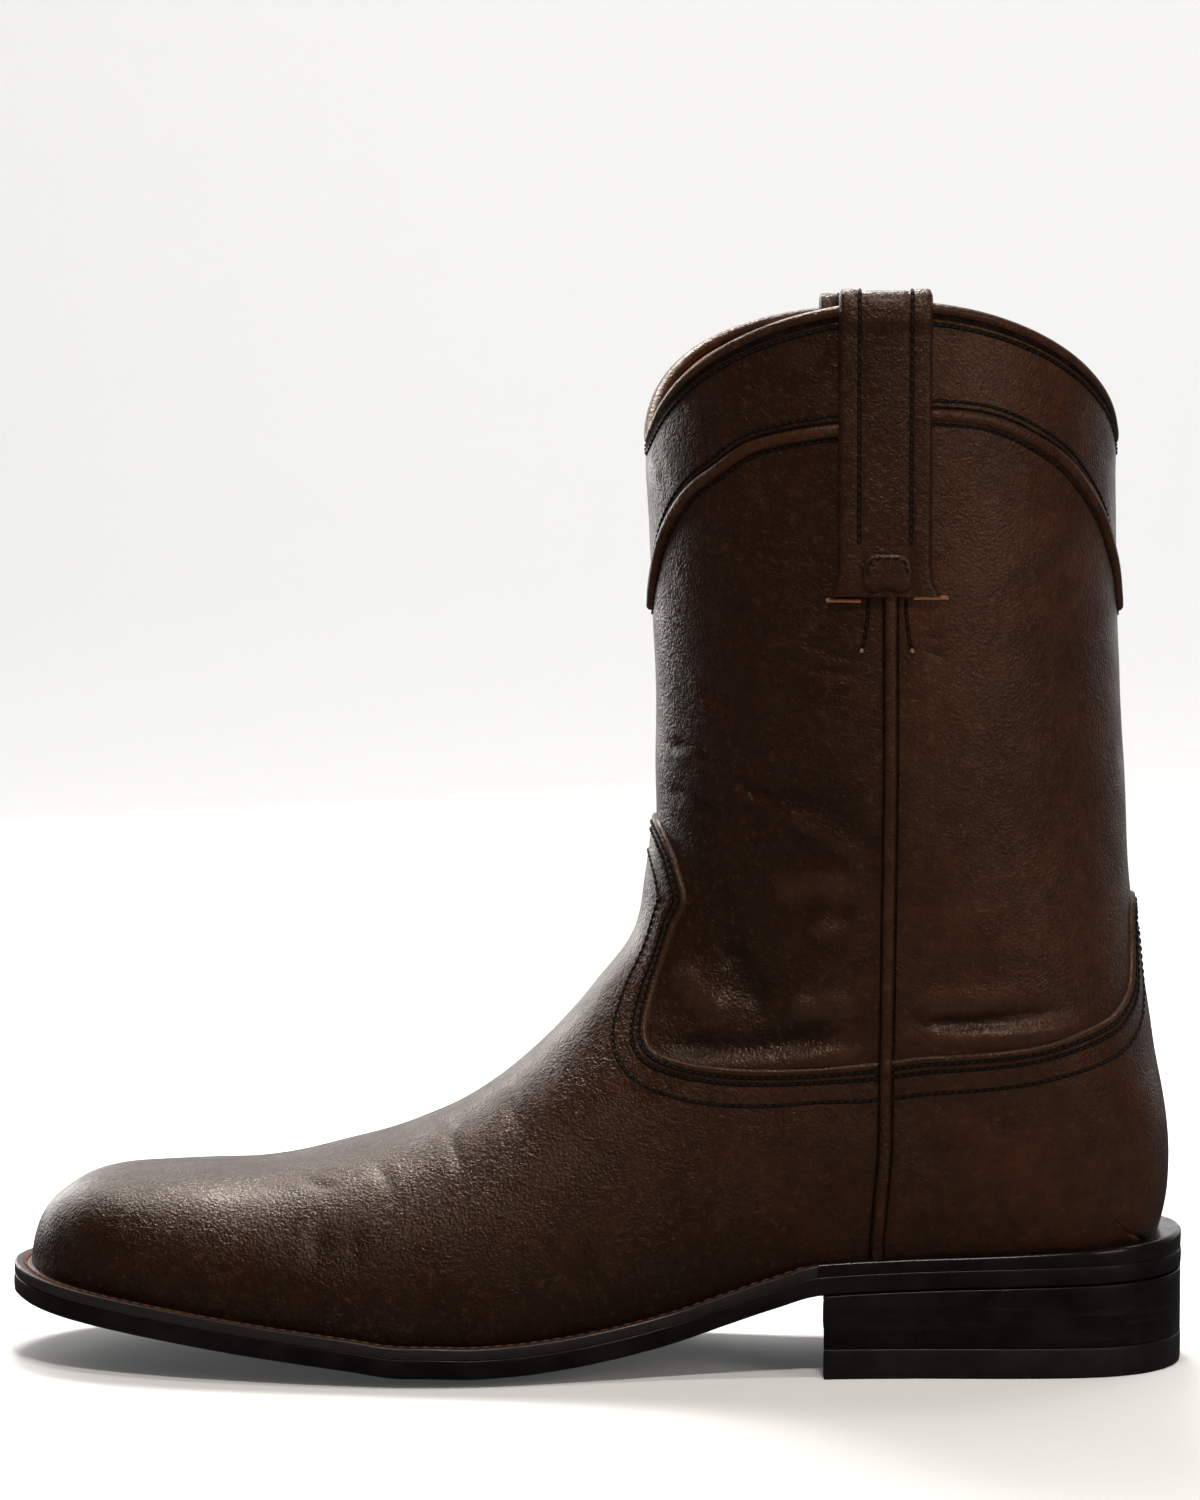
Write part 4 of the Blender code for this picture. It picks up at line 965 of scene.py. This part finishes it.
def yokeLine(rows, base):
    table = [(-d, up) for d, up in rows[:0:-1]] + list(rows)
    line = curveThrough(table, np.linspace(0, len(table) - 1, 240))
    raw = np.array([onShaft(skinTree, base + d, up) for d, up in line])
    return laidOn(skinTree, softened(evenLine(raw, 320), 8))


for word, base in (("Front", 0), ("Back", 180)):
    points, outs = yokeLine(yokeSettings[word.lower()], base)
    profile = roundProfile(yokeSettings["width"], yokeSettings["height"])
    mesh = sweptAlong("yokePiping" + word, points, outs, profile)
    addPiece("yokePiping" + word, mesh, trimLeather, "piping_leather", "yoke_piping_" + word.lower())
    upward = np.sign(acrossLine(points, outs)[len(points) // 2, 2])
    for distance in (-yokeSettings["rowBelow"], yokeSettings["rowAbove"]):
        sewnRow(*beside(skinTree, points, outs, upward * distance), bed=yokeSettings["rowBed"])
    shadeStripAlong(*beside(skinTree, points, outs, upward * yokeSettings["ditchAbove"]), yokeSettings["ditchHalf"],
              yokeSettings["ditchHeight"])
print("collar and yoke")


# Vamp and counter rows

insideSign = -1.0 if acrossLine(edgePoints, edgeOuts, True)[0, 2] > 0 else 1.0
overlayRows = {"single": 0.0098, "lift": 0.0012, "bed": 0.0010}
for distance in (*cutEdge["rows"], overlayRows["single"]):
    points, outs = beside(skinTree, edgePoints, edgeOuts, insideSign * distance, True)
    if distance == overlayRows["single"]:
        points, outs = laidOn(skinTree, softened(points, 40, True))
    sewnRow(points + outs * overlayRows["lift"], outs, True, overlayRows["bed"])


# Side seams

seamSettings = {
    "width": 0.0031, "height": 0.0018, "top": 0.2085, "ditch": 0.00180, "ditchHalf": 0.00032,
    "ditchHeight": 0.0001, "ditchSink": 0.0006, "intoWelt": 0.0005, "liftStart": 0.0010, "liftOver": 0.0022,
}


def seamLine(side):  # from the yoke down to the welt, lifted where it runs over the counter's edge
    low = float(soleTop(sideSeam[0][0])) + ground["welt"] - seamSettings["intoWelt"]
    heights = np.linspace(seamSettings["top"], low, 170)
    line = [onSide(skinTree, float(seamAlong(up)), up, side) for up in heights]
    points, outs = laidOn(skinTree, softened(np.array(line), 4))
    distance = insideSign * signedDistance(points, edgePoints, edgeOuts, True)
    lifted = np.clip((distance + seamSettings["liftStart"]) / seamSettings["liftOver"], 0, 1)
    return points + outs * (cutEdge["step"] * lifted * lifted * (3 - 2 * lifted))[:, None], outs


for side, word in ((-1, "lateral"), (1, "medial")):
    points, outs = seamLine(side)
    profile = roundProfile(seamSettings["width"], seamSettings["height"])
    mesh = sweptAlong("sidePiping_" + word, points, outs, profile)
    addPiece("sidePiping_" + word, mesh, trimLeather, "piping_leather", "side_piping_" + word)
    across = acrossLine(points, outs)
    for edge in (-1, 1):
        shadeStripAlong(points + across * edge * seamSettings["ditch"], outs, seamSettings["ditchHalf"],
                  seamSettings["ditchHeight"], seamSettings["ditchSink"])
print("side seams")


# Pull straps

strap = {
    "width": 0.0236, "flare": 0.0285, "flareHeight": 0.0062, "foot": 0.2038, "thick": 0.0024, "inside": 0.060,
    "loop": 0.0016, "lean": 0.0055, "leanFrom": 0.232, "leanOver": 0.046, "rolled": 0.00040, "clear": 0.0003,
    "row": 0.0066, "rowWidth": 0.0009, "rowDepth": 0.0005, "rowBed": 0.0010,
    "tabWidth": 0.0124, "tabHeight": 0.0102, "tabThick": 0.0011, "tabRow": 0.80, "tabUp": 0.0006,
    "tabSink": 0.0030, "slitDrop": 0.0004, "slitWidth": 0.0011, "slitHeight": 0.0009, "tailLength": 0.0125,
}
outerSteps = 44


def strapPath(side, along):
    half = strap["thick"] / 2
    outer = []
    drop = form["insideDrop"] if side > 0 else 0.0
    for up in np.linspace(strap["foot"], collarTop - 0.004, outerSteps):
        y = abs(onSide(skinTree, along, up, side)[1])
        lowered = up - drop * (up - strap["foot"]) / (collarTop - strap["foot"])
        outer.append((y + strap["clear"] + half, lowered))
    inward = form["wall"] + 2 * strap["clear"] + strap["thick"]
    inner = [(y - inward, z) for y, z in outer if collarTop - z < strap["inside"]]
    middle = (outer[-1][0] + inner[-1][0]) / 2
    reach = max((outer[-1][0] - inner[-1][0]) / 2, collarSettings["bindingWide"] + 0.0007 + half)
    lift = collarTop - drop + 2 * collarSettings["binding"] + strap["loop"] - outer[-1][1]
    loop = []
    for turn in np.linspace(0, math.pi, 26)[1:-1]:
        z = outer[-1][1] + lift * math.sin(turn) ** 0.85
        loop.append((middle + reach * rounded(math.cos(turn), 0.62), z))
    return outer + loop + inner[::-1]


def rounded(value, power):
    return math.copysign(abs(value) ** power, value)


def strapLean(side, up):  # the inside strap leans towards the toe at its top
    t = np.clip((np.asarray(up) - strap["leanFrom"]) / strap["leanOver"], 0, 1)
    return shaftMiddle + (strap["lean"] * t * t * (3 - 2 * t) if side > 0 else 0.0006)


def strapMesh(side):
    half, width = strap["thick"] / 2, strap["width"]
    top = np.linspace(-1, 1, 33)
    top = np.sign(top) * np.abs(top) ** 0.85
    edge = np.sqrt(np.clip(1 - ((np.abs(top) - 0.90) / 0.10).clip(0, 1) ** 2, 0, 1))
    groove = np.exp(-((np.abs(top) * width / 2 - strap["row"]) / strap["rowWidth"]) ** 2)
    height = half * edge + strap["rolled"] * (np.abs(top) > 0.55) * edge - strap["rowDepth"] * groove
    profile = list(zip(top, height)) + list(zip(top[::-1], -half * edge[::-1]))
    keys = np.linspace(-1.25, 1.25, 17)
    stack = np.array([strapPath(side, shaftMiddle + x * width / 2) for x in keys])
    rings = []
    steps = stack.shape[1]
    for i in range(steps):
        ring = []
        footShare = max(0.0, 1 - (stack[8, i, 1] - strap["foot"]) / strap["flareHeight"])
        wide = 1 + (strap["flare"] / width - 1) * footShare ** 2 * (i < outerSteps)
        before, after = max(i - 1, 0), min(i + 1, steps - 1)
        for x, h in profile:
            spots = np.array([[np.interp(x * wide, keys, stack[:, k, axis]) for axis in (0, 1)]
                              for k in (i, before, after)])
            y, z = spots[0]
            dy, dz = spots[2] - spots[1]
            size = math.hypot(dy, dz)
            ny, nz = dz / size, -dy / size
            leaned = strapLean(side, z) + x * wide * width / 2
            ring.append(place(leaned, side * (y + ny * h), z + nz * h))
        rings.append(ring)
    return sweptMesh("pullStrap", rings), stack, keys


def tabRing(share, turn):  # a place on the tab's rounded outline, from its middle
    c, n = math.cos(turn), math.sin(turn)
    x = rounded(c, 0.5) * strap["tabWidth"] / 2
    z = rounded(n, 0.62 if n > 0 else 0.45) * strap["tabHeight"] / 2
    if n < -0.5:
        z += 0.0016 * math.exp(-(x / 0.0030) ** 2)
    return x * share, strap["foot"] + strap["tabHeight"] / 2 + strap["tabUp"] + z * share


def onStrap(side, x, z, proud):
    y = abs(onSide(skinTree, shaftMiddle + x, z, side)[1])
    return place(shaftMiddle + x, side * (y + strap["clear"] + strap["thick"] + proud), z)


def tabMesh(side):
    levels = [(share, height * strap["tabThick"]) for share, height in (
        (1.0, 0.35), (0.93, 0.72), (0.80, 0.90), (0.55, 1.0), (0.28, 0.97), (0.02, 0.93))]
    turns = np.linspace(0, 2 * math.pi, 56, endpoint=False)
    rings = [[onStrap(side, *tabRing(share, turn), proud) for turn in turns]
             for share, proud in [(1.0, -strap["tabSink"])] + levels]
    return sweptMesh("strapTab", rings)


threadKnots = []
for side, word in ((-1, "lateral"), (1, "medial")):
    mesh, stack, keys = strapMesh(side)
    addPiece("pullStrap_" + word, mesh, strapLeather, "strap_leather", "pull_strap_" + word)
    addPiece("strapTab_" + word, tabMesh(side), strapLeather, "strap_leather")
    arch = []
    for turn in np.linspace(0.04, 0.96, 60) * math.pi:
        x = rounded(math.cos(turn), 0.5) * strap["tabWidth"] / 2 * strap["tabRow"]
        z = strap["tabHeight"] / 2 * (1 + strap["tabRow"] * math.sin(turn) ** 0.62)
        arch.append(onStrap(side, x, strap["foot"] + strap["tabUp"] + z, 0.95 * strap["tabThick"]))
    sewnRow(evenLine(np.array(arch), 80), np.tile((0.0, side, 0.0), (80, 1)), bed=0)
    for edge in (-1, 1):
        x = edge * strap["row"] / (strap["width"] / 2)
        line = np.array([[np.interp(x, keys, stack[:, i, k]) for k in (0, 1)] for i in range(stack.shape[1])])
        step = np.gradient(line, axis=0)
        step /= np.linalg.norm(step, axis=1)[:, None]
        flat = np.column_stack([step[:, 1], -step[:, 0]])
        shown = slice(9, len(line) - 3)
        raised = line + flat * (strap["thick"] / 2 + 0.0001)
        half = x * strap["width"] / 2
        points = np.array([place(strapLean(side, z) + half, side * y, z) for y, z in raised[shown]])
        outs = np.array([(0.0, side * y, z) for y, z in flat[shown]])
        travel = np.linspace(0, 1, len(points))
        outs = np.column_stack([np.interp(np.linspace(0, 1, 260), travel, outs[:, i]) for i in range(3)])
        sewnRow(evenLine(points, 260), outs, bed=strap["rowBed"])
    slit = strap["foot"] - strap["slitDrop"]
    for edge, drop, end in ((-1, 0.0000, "back"), (1, -0.0008, "front")):
        a, b = edge * 0.0066, edge * (strap["flare"] / 2 + 0.0006)
        shares = np.linspace(0, 1, 24)
        spots = [onSide(skinTree, shaftMiddle + a + (b - a) * t, slit + drop, side) for t in shares]
        points, outs = laidOn(skinTree, np.array(spots))
        mesh = sweptAlong("slitEdge", points, outs, roundProfile(strap["slitWidth"], strap["slitHeight"], 8))
        addPiece("slitEdge_" + word + "_" + end, mesh, rawLook, "strap_leather")
        tail = [onSide(skinTree, shaftMiddle + edge * (0.0048 + 0.0015 * t * t),
                       slit - 0.0010 - strap["tailLength"] * t, side) for t in shares]
        sewnRow(*laidOn(skinTree, np.array(tail)), bed=strap["rowBed"])
        threadKnots += [(points[-1], outs[-1]), (tail[-1], outs[-1])]

knotMeshes = []
knotRandom = np.random.default_rng(5)
for spot, out in threadKnots:
    bm = bmesh.new()
    bmesh.ops.create_icosphere(bm, subdivisions=2, radius=0.00055)
    for v in bm.verts:
        v.co *= 0.8 + 0.5 * knotRandom.random()
        v.co += Vector(spot + out * 0.0004)
    mesh = bpy.data.meshes.new("knot")
    bm.to_mesh(mesh)
    bm.free()
    knotMeshes.append(mesh)
knotLook = plainLook("threadKnot", (0.22, 0.15, 0.10), (0.07, 0.04, 0.02), 1500.0, 0.7, 2500.0, 0.0002)
addPiece("threadKnots", joinedMesh("threadKnots", knotMeshes), knotLook, "strap_leather")
print("straps")

addPiece("seamGrooves", joinedMesh("seamGrooves", grooves), seamShadeLook, "upper_leather")
darkStitches = stitchRows("darkStitches", darkRows, fineStitch, blackThread, "upper_leather")
print("stitches", len(darkStitches.data.polygons))


# Sole and heel, outward from the line where the upper meets the welt

solePlaces = 150
soleSettings = {
    "edgeRound": 0.0013, "topRound": 0.0003, "bulge": 0.00015, "seam": 0.0001,
    "stackGrooves": (0.30, 0.62), "grooveDepth": 0.00005, "backRise": 0.0018, "backRiseLength": 0.062,
    "insoleInset": 0.0026, "insoleLift": 0.0006, "insoleThick": 0.0030, "stitchPlace": 0.50, "stitchUp": 0.90,
    "weltStart": 0.0006, "randEnd": 0.0030, "randProud": 0.0002, "stitchStart": 0.004,
    "soleSpine": (0.034, 0.042), "heelSpine": (0.034, 0.070), "sockSpine": (0.040, 0.048),
}
# share of the way in from the sole's edge, share of the height, and how black the edge dressing leaves it
weltProfile = ((1.0, 0.0, 0), (0.05, 0.0, 1), (0.0, 0.10, 1), (0.0, 0.78, 1), (0.03, 0.90, 1),
               (0.10, 0.985, 0.6), (0.17, 1.0, 0), (0.36, 1.0, 0), (0.43, 0.90, 0), (0.50, 0.87, 0),
               (0.57, 0.90, 0), (0.64, 1.0, 0), (1.0, 1.06, 0))
randProfile = ((1.0, 0.0, 1), (0.03, 0.0, 1), (0.0, 0.06, 1), (-0.01, 0.40, 1), (-0.005, 0.76, 1),
               (0.02, 0.90, 1), (0.08, 0.98, 1), (0.16, 1.0, 1), (0.60, 1.0, 1), (1.0, 1.0, 1))


def fullness(section, share):
    widest, low, high = section[6:9]
    if share < widest:
        return max(0.0, 1 - ((widest - share) / widest) ** low) ** (1 / low)
    return max(0.0, 1 - ((share - widest) / (1 - widest)) ** high) ** (1 / high)


def featherLine():
    total = len(footRows) + len(rearRows) + len(shaftRows) - 1
    fine = np.linspace(0, total, 1600)
    keels = sectionsAt(fine)
    last = fine[np.nonzero(keels[:, 3] < soleTop(keels[:, 2]) + ground["welt"])[0].max()]
    sections = sectionsAt(last * (1 - np.cos(np.linspace(0, math.pi, 300))) / 2)
    edges = []
    for column in (4, 5):
        low, high = np.zeros(len(sections)), np.ones(len(sections))
        for _ in range(26):
            share = (low + high) / 2
            along = sections[:, 2] + share * (sections[:, 0] - sections[:, 2])
            up = sections[:, 3] + share * (sections[:, 1] - sections[:, 3])
            width = sections[:, column] * np.array([fullness(s, t) for s, t in zip(sections, share)])
            under = up < soleTop(along, width) + ground["welt"]
            low, high = np.where(under, share, low), np.where(under, high, share)
        width[0] = width[-1] = 0.0
        edges.append(evenLine(np.column_stack([along, width, 0 * width]), solePlaces)[:, :2])
    return edges


def standOut(edge, distances):
    whole = np.vstack([edge[1] * (1, -1), edge, edge[-2] * (1, -1)])
    run = whole[2:] - whole[:-2]
    run /= np.linalg.norm(run, axis=1)[:, None]
    moved = edge + np.column_stack([run[:, 1], -run[:, 0]]) * distances[:, None]
    moved[0, 1] = moved[-1, 1] = 0.0
    return moved


def wholeRound(lateral, medial):  # from the heel along the outside to the toe, and back along the inside
    return np.vstack([lateral[::-1] * (1, -1), medial[1:-1]])


def inwardOf(outline):
    run = np.roll(outline, -1, axis=0) - np.roll(outline, 1, axis=0)
    run /= np.linalg.norm(run, axis=1)[:, None]
    return np.column_stack([-run[:, 1], run[:, 0]])


edges = featherLine()
margins = np.array(soleMargins)
shares = np.linspace(0, 1, solePlaces)
soleEdges = [standOut(edge, ground["weltWidth"] * levelLine(margins[:, 0], margins[:, k], shares))
             for edge, k in zip(edges, (1, 2))]
soleOutline, featherOutline = wholeRound(*soleEdges), wholeRound(*edges)


# side: rows of inset in metres, share of the height, and rise in metres
def slab(name, outline, spine, side, low, high, rings=10):
    inward = inwardOf(outline)
    core = np.column_stack([np.clip(outline[:, 0], *spine), 0 * outline[:, 1]])
    levels = []
    first, last = outline + inward * side[0][0], outline + inward * side[-1][0]
    for t in np.linspace(0, 1, rings)[:-1]:
        p = core + (first - core) * t
        levels.append((p, low(p[:, 0], p[:, 1])))
    for inset, share, rise in side:
        p = outline + inward * inset
        bottom, top = low(p[:, 0], p[:, 1]), high(p[:, 0], p[:, 1])
        levels.append((p, bottom + share * (top - bottom) + rise))
    for t in np.linspace(1, 0, rings)[1:]:
        p = core + (last - core) * t
        levels.append((p, high(p[:, 0], p[:, 1])))
    grid = np.array([place(p[:, 0], p[:, 1], up) for p, up in levels])
    count = grid.shape[1]
    faces = []
    for i in range(len(grid) - 1):
        for j in range(count):
            n = (j + 1) % count
            faces.append((i * count + j, i * count + n, (i + 1) * count + n, (i + 1) * count + j))
    return meshFrom(name, grid.reshape(-1, 3), faces, merge=0.00002, sharp=42)


def roundedSide(under, top, bulge, grooves=(), depth=0.0):
    turns = np.linspace(0, math.pi / 2, 5)
    rows = [(under * (1 - math.sin(t)), 0.0, under * (1 - math.cos(t))) for t in turns]
    shares = sorted({0.15, 0.35, 0.5, 0.65, 0.85} | {g + d for g in grooves for d in (-0.025, 0.0, 0.025)})
    rows += [(depth * (t in grooves) - bulge * math.sin(math.pi * t), t, 0.0) for t in shares]
    turns = np.linspace(0, math.pi / 2, 4)
    return rows + [(top * (1 - math.cos(t)), 1.0, -top * (1 - math.sin(t))) for t in turns]


def band(name, places, profile, height, backRise=0.0):
    rings, blackened = [], []
    for i in places:
        row = []
        for inward, share, black in profile:
            along, side = soleOutline[i] + inward * (featherOutline[i] - soleOutline[i])
            top = height + backRise * max(0.0, 1 - along / soleSettings["backRiseLength"]) ** 1.6
            row.append(place(along, side, float(soleTop(along, side)) + share * top))
            blackened.append(black)
        rings.append(row)
    return sweptMesh(name, rings, merge=1e-7, extras={"blackened": blackened})


def edgeDressing(name, roughness, coat, layers=0.0):  # black dressing over leather or rubber
    box = paintbox(name)
    smear = box.noise(60.0, 5.0, 0.65)
    streaks = box.add("ShaderNodeMapping", Vector=box.coords, Scale=(40.0, 40.0, 700.0)).outputs["Vector"]
    lines = box.noise(1.0, 4.0, 0.6, vector=streaks)
    tone = box.mix(box.span(smear, 0.35, 0.75), (0.0030, 0.0026, 0.0024), (0.0085, 0.0064, 0.0055))
    tone = box.mix(box.span(lines, 0.52, 0.72, (0.0, layers)), tone, (0.040, 0.020, 0.011))
    rough = box.uneven(box.noise(130.0, 4.0), -0.07, 0.10, roughness)
    normal = box.bump(box.noise(420.0, 4.0, 0.6), 0.00012, 0.6)
    normal = box.bump(lines, 0.00010, 0.35 + layers, normal)
    return box.finish(Base_Color=tone, Roughness=rough, Normal=normal, Coat_Weight=coat, Coat_Roughness=0.18,
                      Specular_IOR_Level=0.16)


def weltLook():
    box = paintbox("weltFinish")
    grain = box.noise(420.0, 4.0, 0.65)
    brown = box.mix(box.span(box.noise(75.0, 4.0), 0.3, 0.7), (0.046, 0.019, 0.009), (0.020, 0.009, 0.006))
    black = box.mix(grain, (0.008, 0.007, 0.0065), (0.020, 0.016, 0.014))
    tone = box.mix(box.attribute("blackened"), brown, black)
    return box.finish(Base_Color=tone, Roughness=box.uneven(grain, -0.06, 0.08, 0.38),
                      Normal=box.bump(grain, 0.00015, 0.6), Coat_Weight=0.10, Coat_Roughness=0.2,
                      Specular_IOR_Level=0.18)


soleEdge = edgeDressing("soleEdge", 0.36, 0.08)
heelEdge = edgeDressing("heelEdge", 0.34, 0.10, 0.16)
randGloss = edgeDressing("randGloss", 0.22, 0.30)


def spineOf(label):  # where the slab's middle line starts and ends
    back, front = soleSettings[label]
    return back, soleLength - front


side = roundedSide(soleSettings["edgeRound"], soleSettings["topRound"], soleSettings["bulge"])
mesh = slab("sole", soleOutline, spineOf("soleSpine"), side, soleUnder, soleTop)
addPiece("sole", mesh, soleEdge, "outsole_rubber", "outsole")
print("sole", len(mesh.polygons), "faces")

breast = ground["heelLength"]
rearPart = soleOutline[soleOutline[:, 0] < breast - 0.0004]
outsideRear, insideRear = rearPart[rearPart[:, 1] <= 0], rearPart[rearPart[:, 1] > 0]
outsideRear = outsideRear[np.argsort(outsideRear[:, 0])]
insideRear = insideRear[np.argsort(-insideRear[:, 0])]
breastWidths = [np.interp(breast, edge[::-1, 0], edge[::-1, 1]) for edge in soleEdges]
across = np.linspace(-breastWidths[0], breastWidths[1], 40)
hollow = ground["breastHollow"] * (1 - np.linspace(-1, 1, 40) ** 2)
heelOutline = np.vstack([outsideRear, np.column_stack([breast - hollow, across]), insideRear])
heelOutline = evenLine(np.column_stack([heelOutline, 0 * heelOutline[:, 0]]), 320, True)[:, :2]


def underSole(along, side):
    return soleUnder(along, side) - soleSettings["seam"]


def levelAt(height):
    return lambda along, side: height + 0 * along


side = roundedSide(0.0002, 0.0003, 0.0, soleSettings["stackGrooves"], soleSettings["grooveDepth"])
mesh = slab("heelStack", heelOutline, soleSettings["heelSpine"], side, levelAt(ground["lift"]), underSole)
addPiece("heelStack", mesh, heelEdge, "heel_stack", "heel_stack")
side = roundedSide(0.0006, 0.0004, 0.0001)
liftTop = levelAt(ground["lift"] - soleSettings["seam"])
mesh = slab("heelLift", heelOutline, soleSettings["heelSpine"], side, levelAt(0), liftTop)
addPiece("heelLift", mesh, blackRubber, "heel_rubber", "heel_cap")

count = len(soleOutline)
ahead = [i for i in range(count) if soleOutline[i, 0] > breast + soleSettings["weltStart"]]
mesh = band("weltStrip", ahead, weltProfile, ground["welt"])
addPiece("weltStrip", mesh, weltLook(), "welt_leather", "welt")
fromToe = (*range(count // 2, count), *range(count // 2))
rear = [i for i in fromToe if soleOutline[i, 0] < breast + soleSettings["randEnd"]]
randHeight = ground["welt"] + soleSettings["randProud"]
mesh = band("heelRand", rear, randProfile, randHeight, soleSettings["backRise"])
addPiece("heelRand", mesh, randGloss, "rand", "heel_rand")


def sockUnder(along, side):
    return soleTop(along, side) + soleSettings["insoleLift"]


def sockTop(along, side):
    return sockUnder(along, side) + soleSettings["insoleThick"]


board = featherOutline + inwardOf(featherOutline) * soleSettings["insoleInset"]
side = roundedSide(0.0003, 0.0008, 0.0)
mesh = slab("insoleSock", board, spineOf("sockSpine"), side, sockUnder, sockTop)
addPiece("insoleSock", mesh, liningLeather, "insole_leather", "insole")

weltStitch = {
    "pitch": 0.0031, "size": 0.0027, "thick": 0.00095, "dip": 0.00030, "proud": 0.00014, "lean": 3.0,
    "unevenness": 4.0, "seed": 8,
}
middle = soleOutline + soleSettings["stitchPlace"] * (featherOutline - soleOutline)
run = [i for i in range(count) if soleOutline[i, 0] > breast + soleSettings["stitchStart"]]
up = soleSettings["stitchUp"] * ground["welt"]
weltLine = evenLine([place(a, w, float(soleTop(a, w)) + up) for a, w in middle[run]], 900)
rows = [(weltLine, np.tile((0.0, 0.0, 1.0), (len(weltLine), 1)), False)]
stitchRows("weltStitches", rows, weltStitch, tanThread, "welt_leather")
print("heel, welt and insole")


# Studio

studio = {
    "cameraPlace": (-0.0521, -1.558, 0.2965), "tilt": 5.008, "turn": 2.0, "lens": 143.04, "sensor": 36.0,
    "backdropTone": (0.90, 0.90, 0.895), "backdropGlow": 0.05, "worldTone": (1.0, 0.98, 0.96),
    "worldPower": 0.05, "halfWidth": 5.0, "front": -3.0, "bendStart": 1.5, "bendRadius": 0.9, "height": 4.0,
    "wallRadius": 4.4, "wallSides": 48, "wallUnder": -0.5, "wallTop": 4.5,
}
# name, place, aimed at, width, height, power, tone
lamps = (
    ("keyLight", (-0.12, -0.26, 1.20), (-0.06, 0.0, 0.12), 0.20, 0.12, 3.0, (1.0, 0.98, 0.95)),
    ("foldLight", (0.02, -0.72, 1.00), (0.0, 0.0, 0.12), 0.16, 0.09, 6.0, (1.0, 0.92, 0.83)),
    ("fillLight", (0.75, -0.75, 0.50), (-0.02, 0.0, 0.13), 0.50, 0.50, 2.5, (1.0, 0.94, 0.88)),
    ("topLight", (-0.20, 0.50, 0.92), (-0.12, 0.0, 0.07), 0.40, 0.20, 12.0, (1.0, 0.95, 0.89)),
    ("edgeLight", (-0.80, 1.05, 0.45), (-0.09, 0.0, 0.18), 0.50, 0.80, 6.0, (1.0, 0.98, 0.95)),
    ("backdropLight", (0.0, 1.0, 2.3), (0.0, 2.1, 0.5), 3.0, 0.6, 44.0, (1.0, 1.0, 1.0)),
)

view = linked("photoCamera", bpy.data.cameras.new("photoCamera"))
view.location = studio["cameraPlace"]
view.rotation_euler = (math.radians(90 - studio["tilt"]), 0, math.radians(studio["turn"]))
view.data.lens = studio["lens"]
view.data.sensor_width = studio["sensor"]
bpy.context.scene.camera = view
bpy.context.scene.view_settings.view_transform = "Standard"

for label, spot, target, width, height, power, tone in lamps:
    lamp = linked(label, bpy.data.lights.new(label, "AREA"))
    lamp.data.shape = "RECTANGLE"
    lamp.data.size, lamp.data.size_y = width, height
    lamp.data.energy, lamp.data.color = power, tone
    lamp.location = spot
    lamp.rotation_euler = (Vector(target) - Vector(spot)).to_track_quat("-Z", "Y").to_euler()

world = bpy.data.worlds.new("studioWorld")
bpy.context.scene.world = world
world.use_nodes = True
background = world.node_tree.nodes["Background"]
fill(background.inputs["Color"], studio["worldTone"])
fill(background.inputs["Strength"], studio["worldPower"])

paper = paintbox("palePaper").finish(
    Base_Color=studio["backdropTone"], Roughness=0.85, Specular_IOR_Level=0.1,
    Emission_Color=studio["backdropTone"], Emission_Strength=studio["backdropGlow"])


def stagePiece(name, points, faces):
    mesh = bpy.data.meshes.new(name)
    mesh.from_pydata(points, [], faces)
    mesh.shade_smooth()
    mesh.materials.append(paper)
    piece = linked(name, mesh)
    piece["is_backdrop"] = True
    return piece


start, radius = studio["bendStart"], studio["bendRadius"]
bend = [(start + radius * math.sin(t), radius * (1 - math.cos(t))) for t in np.linspace(0.1, math.pi / 2, 14)]
sweep = [(studio["front"], 0.0), (start, 0.0), *bend, (start + radius, studio["height"])]
for name, part in (("studioFloor", sweep[:2]), ("studioBackdrop", sweep[1:])):
    n = len(part)
    points = [(x, y, z) for x in (-studio["halfWidth"], studio["halfWidth"]) for y, z in part]
    backdrop = stagePiece(name, points, [(n + i, n + i + 1, i + 1, i) for i in range(n - 1)])
    # a bright floor's reflection would wash out the dark leather
    backdrop.visible_glossy = name == "studioBackdrop"

n, radius = studio["wallSides"], studio["wallRadius"]
turns = np.linspace(0, 2 * math.pi, n, endpoint=False)
around = [(radius * math.cos(t), radius * math.sin(t)) for t in turns]
points = [(x, y, z) for z in (studio["wallUnder"], studio["wallTop"]) for x, y in around]
wall = stagePiece("studioWall", points, [((i + 1) % n, i, n + i, n + (i + 1) % n) for i in range(n)])
wall.visible_glossy = wall.visible_diffuse = wall.visible_shadow = False

low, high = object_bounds()
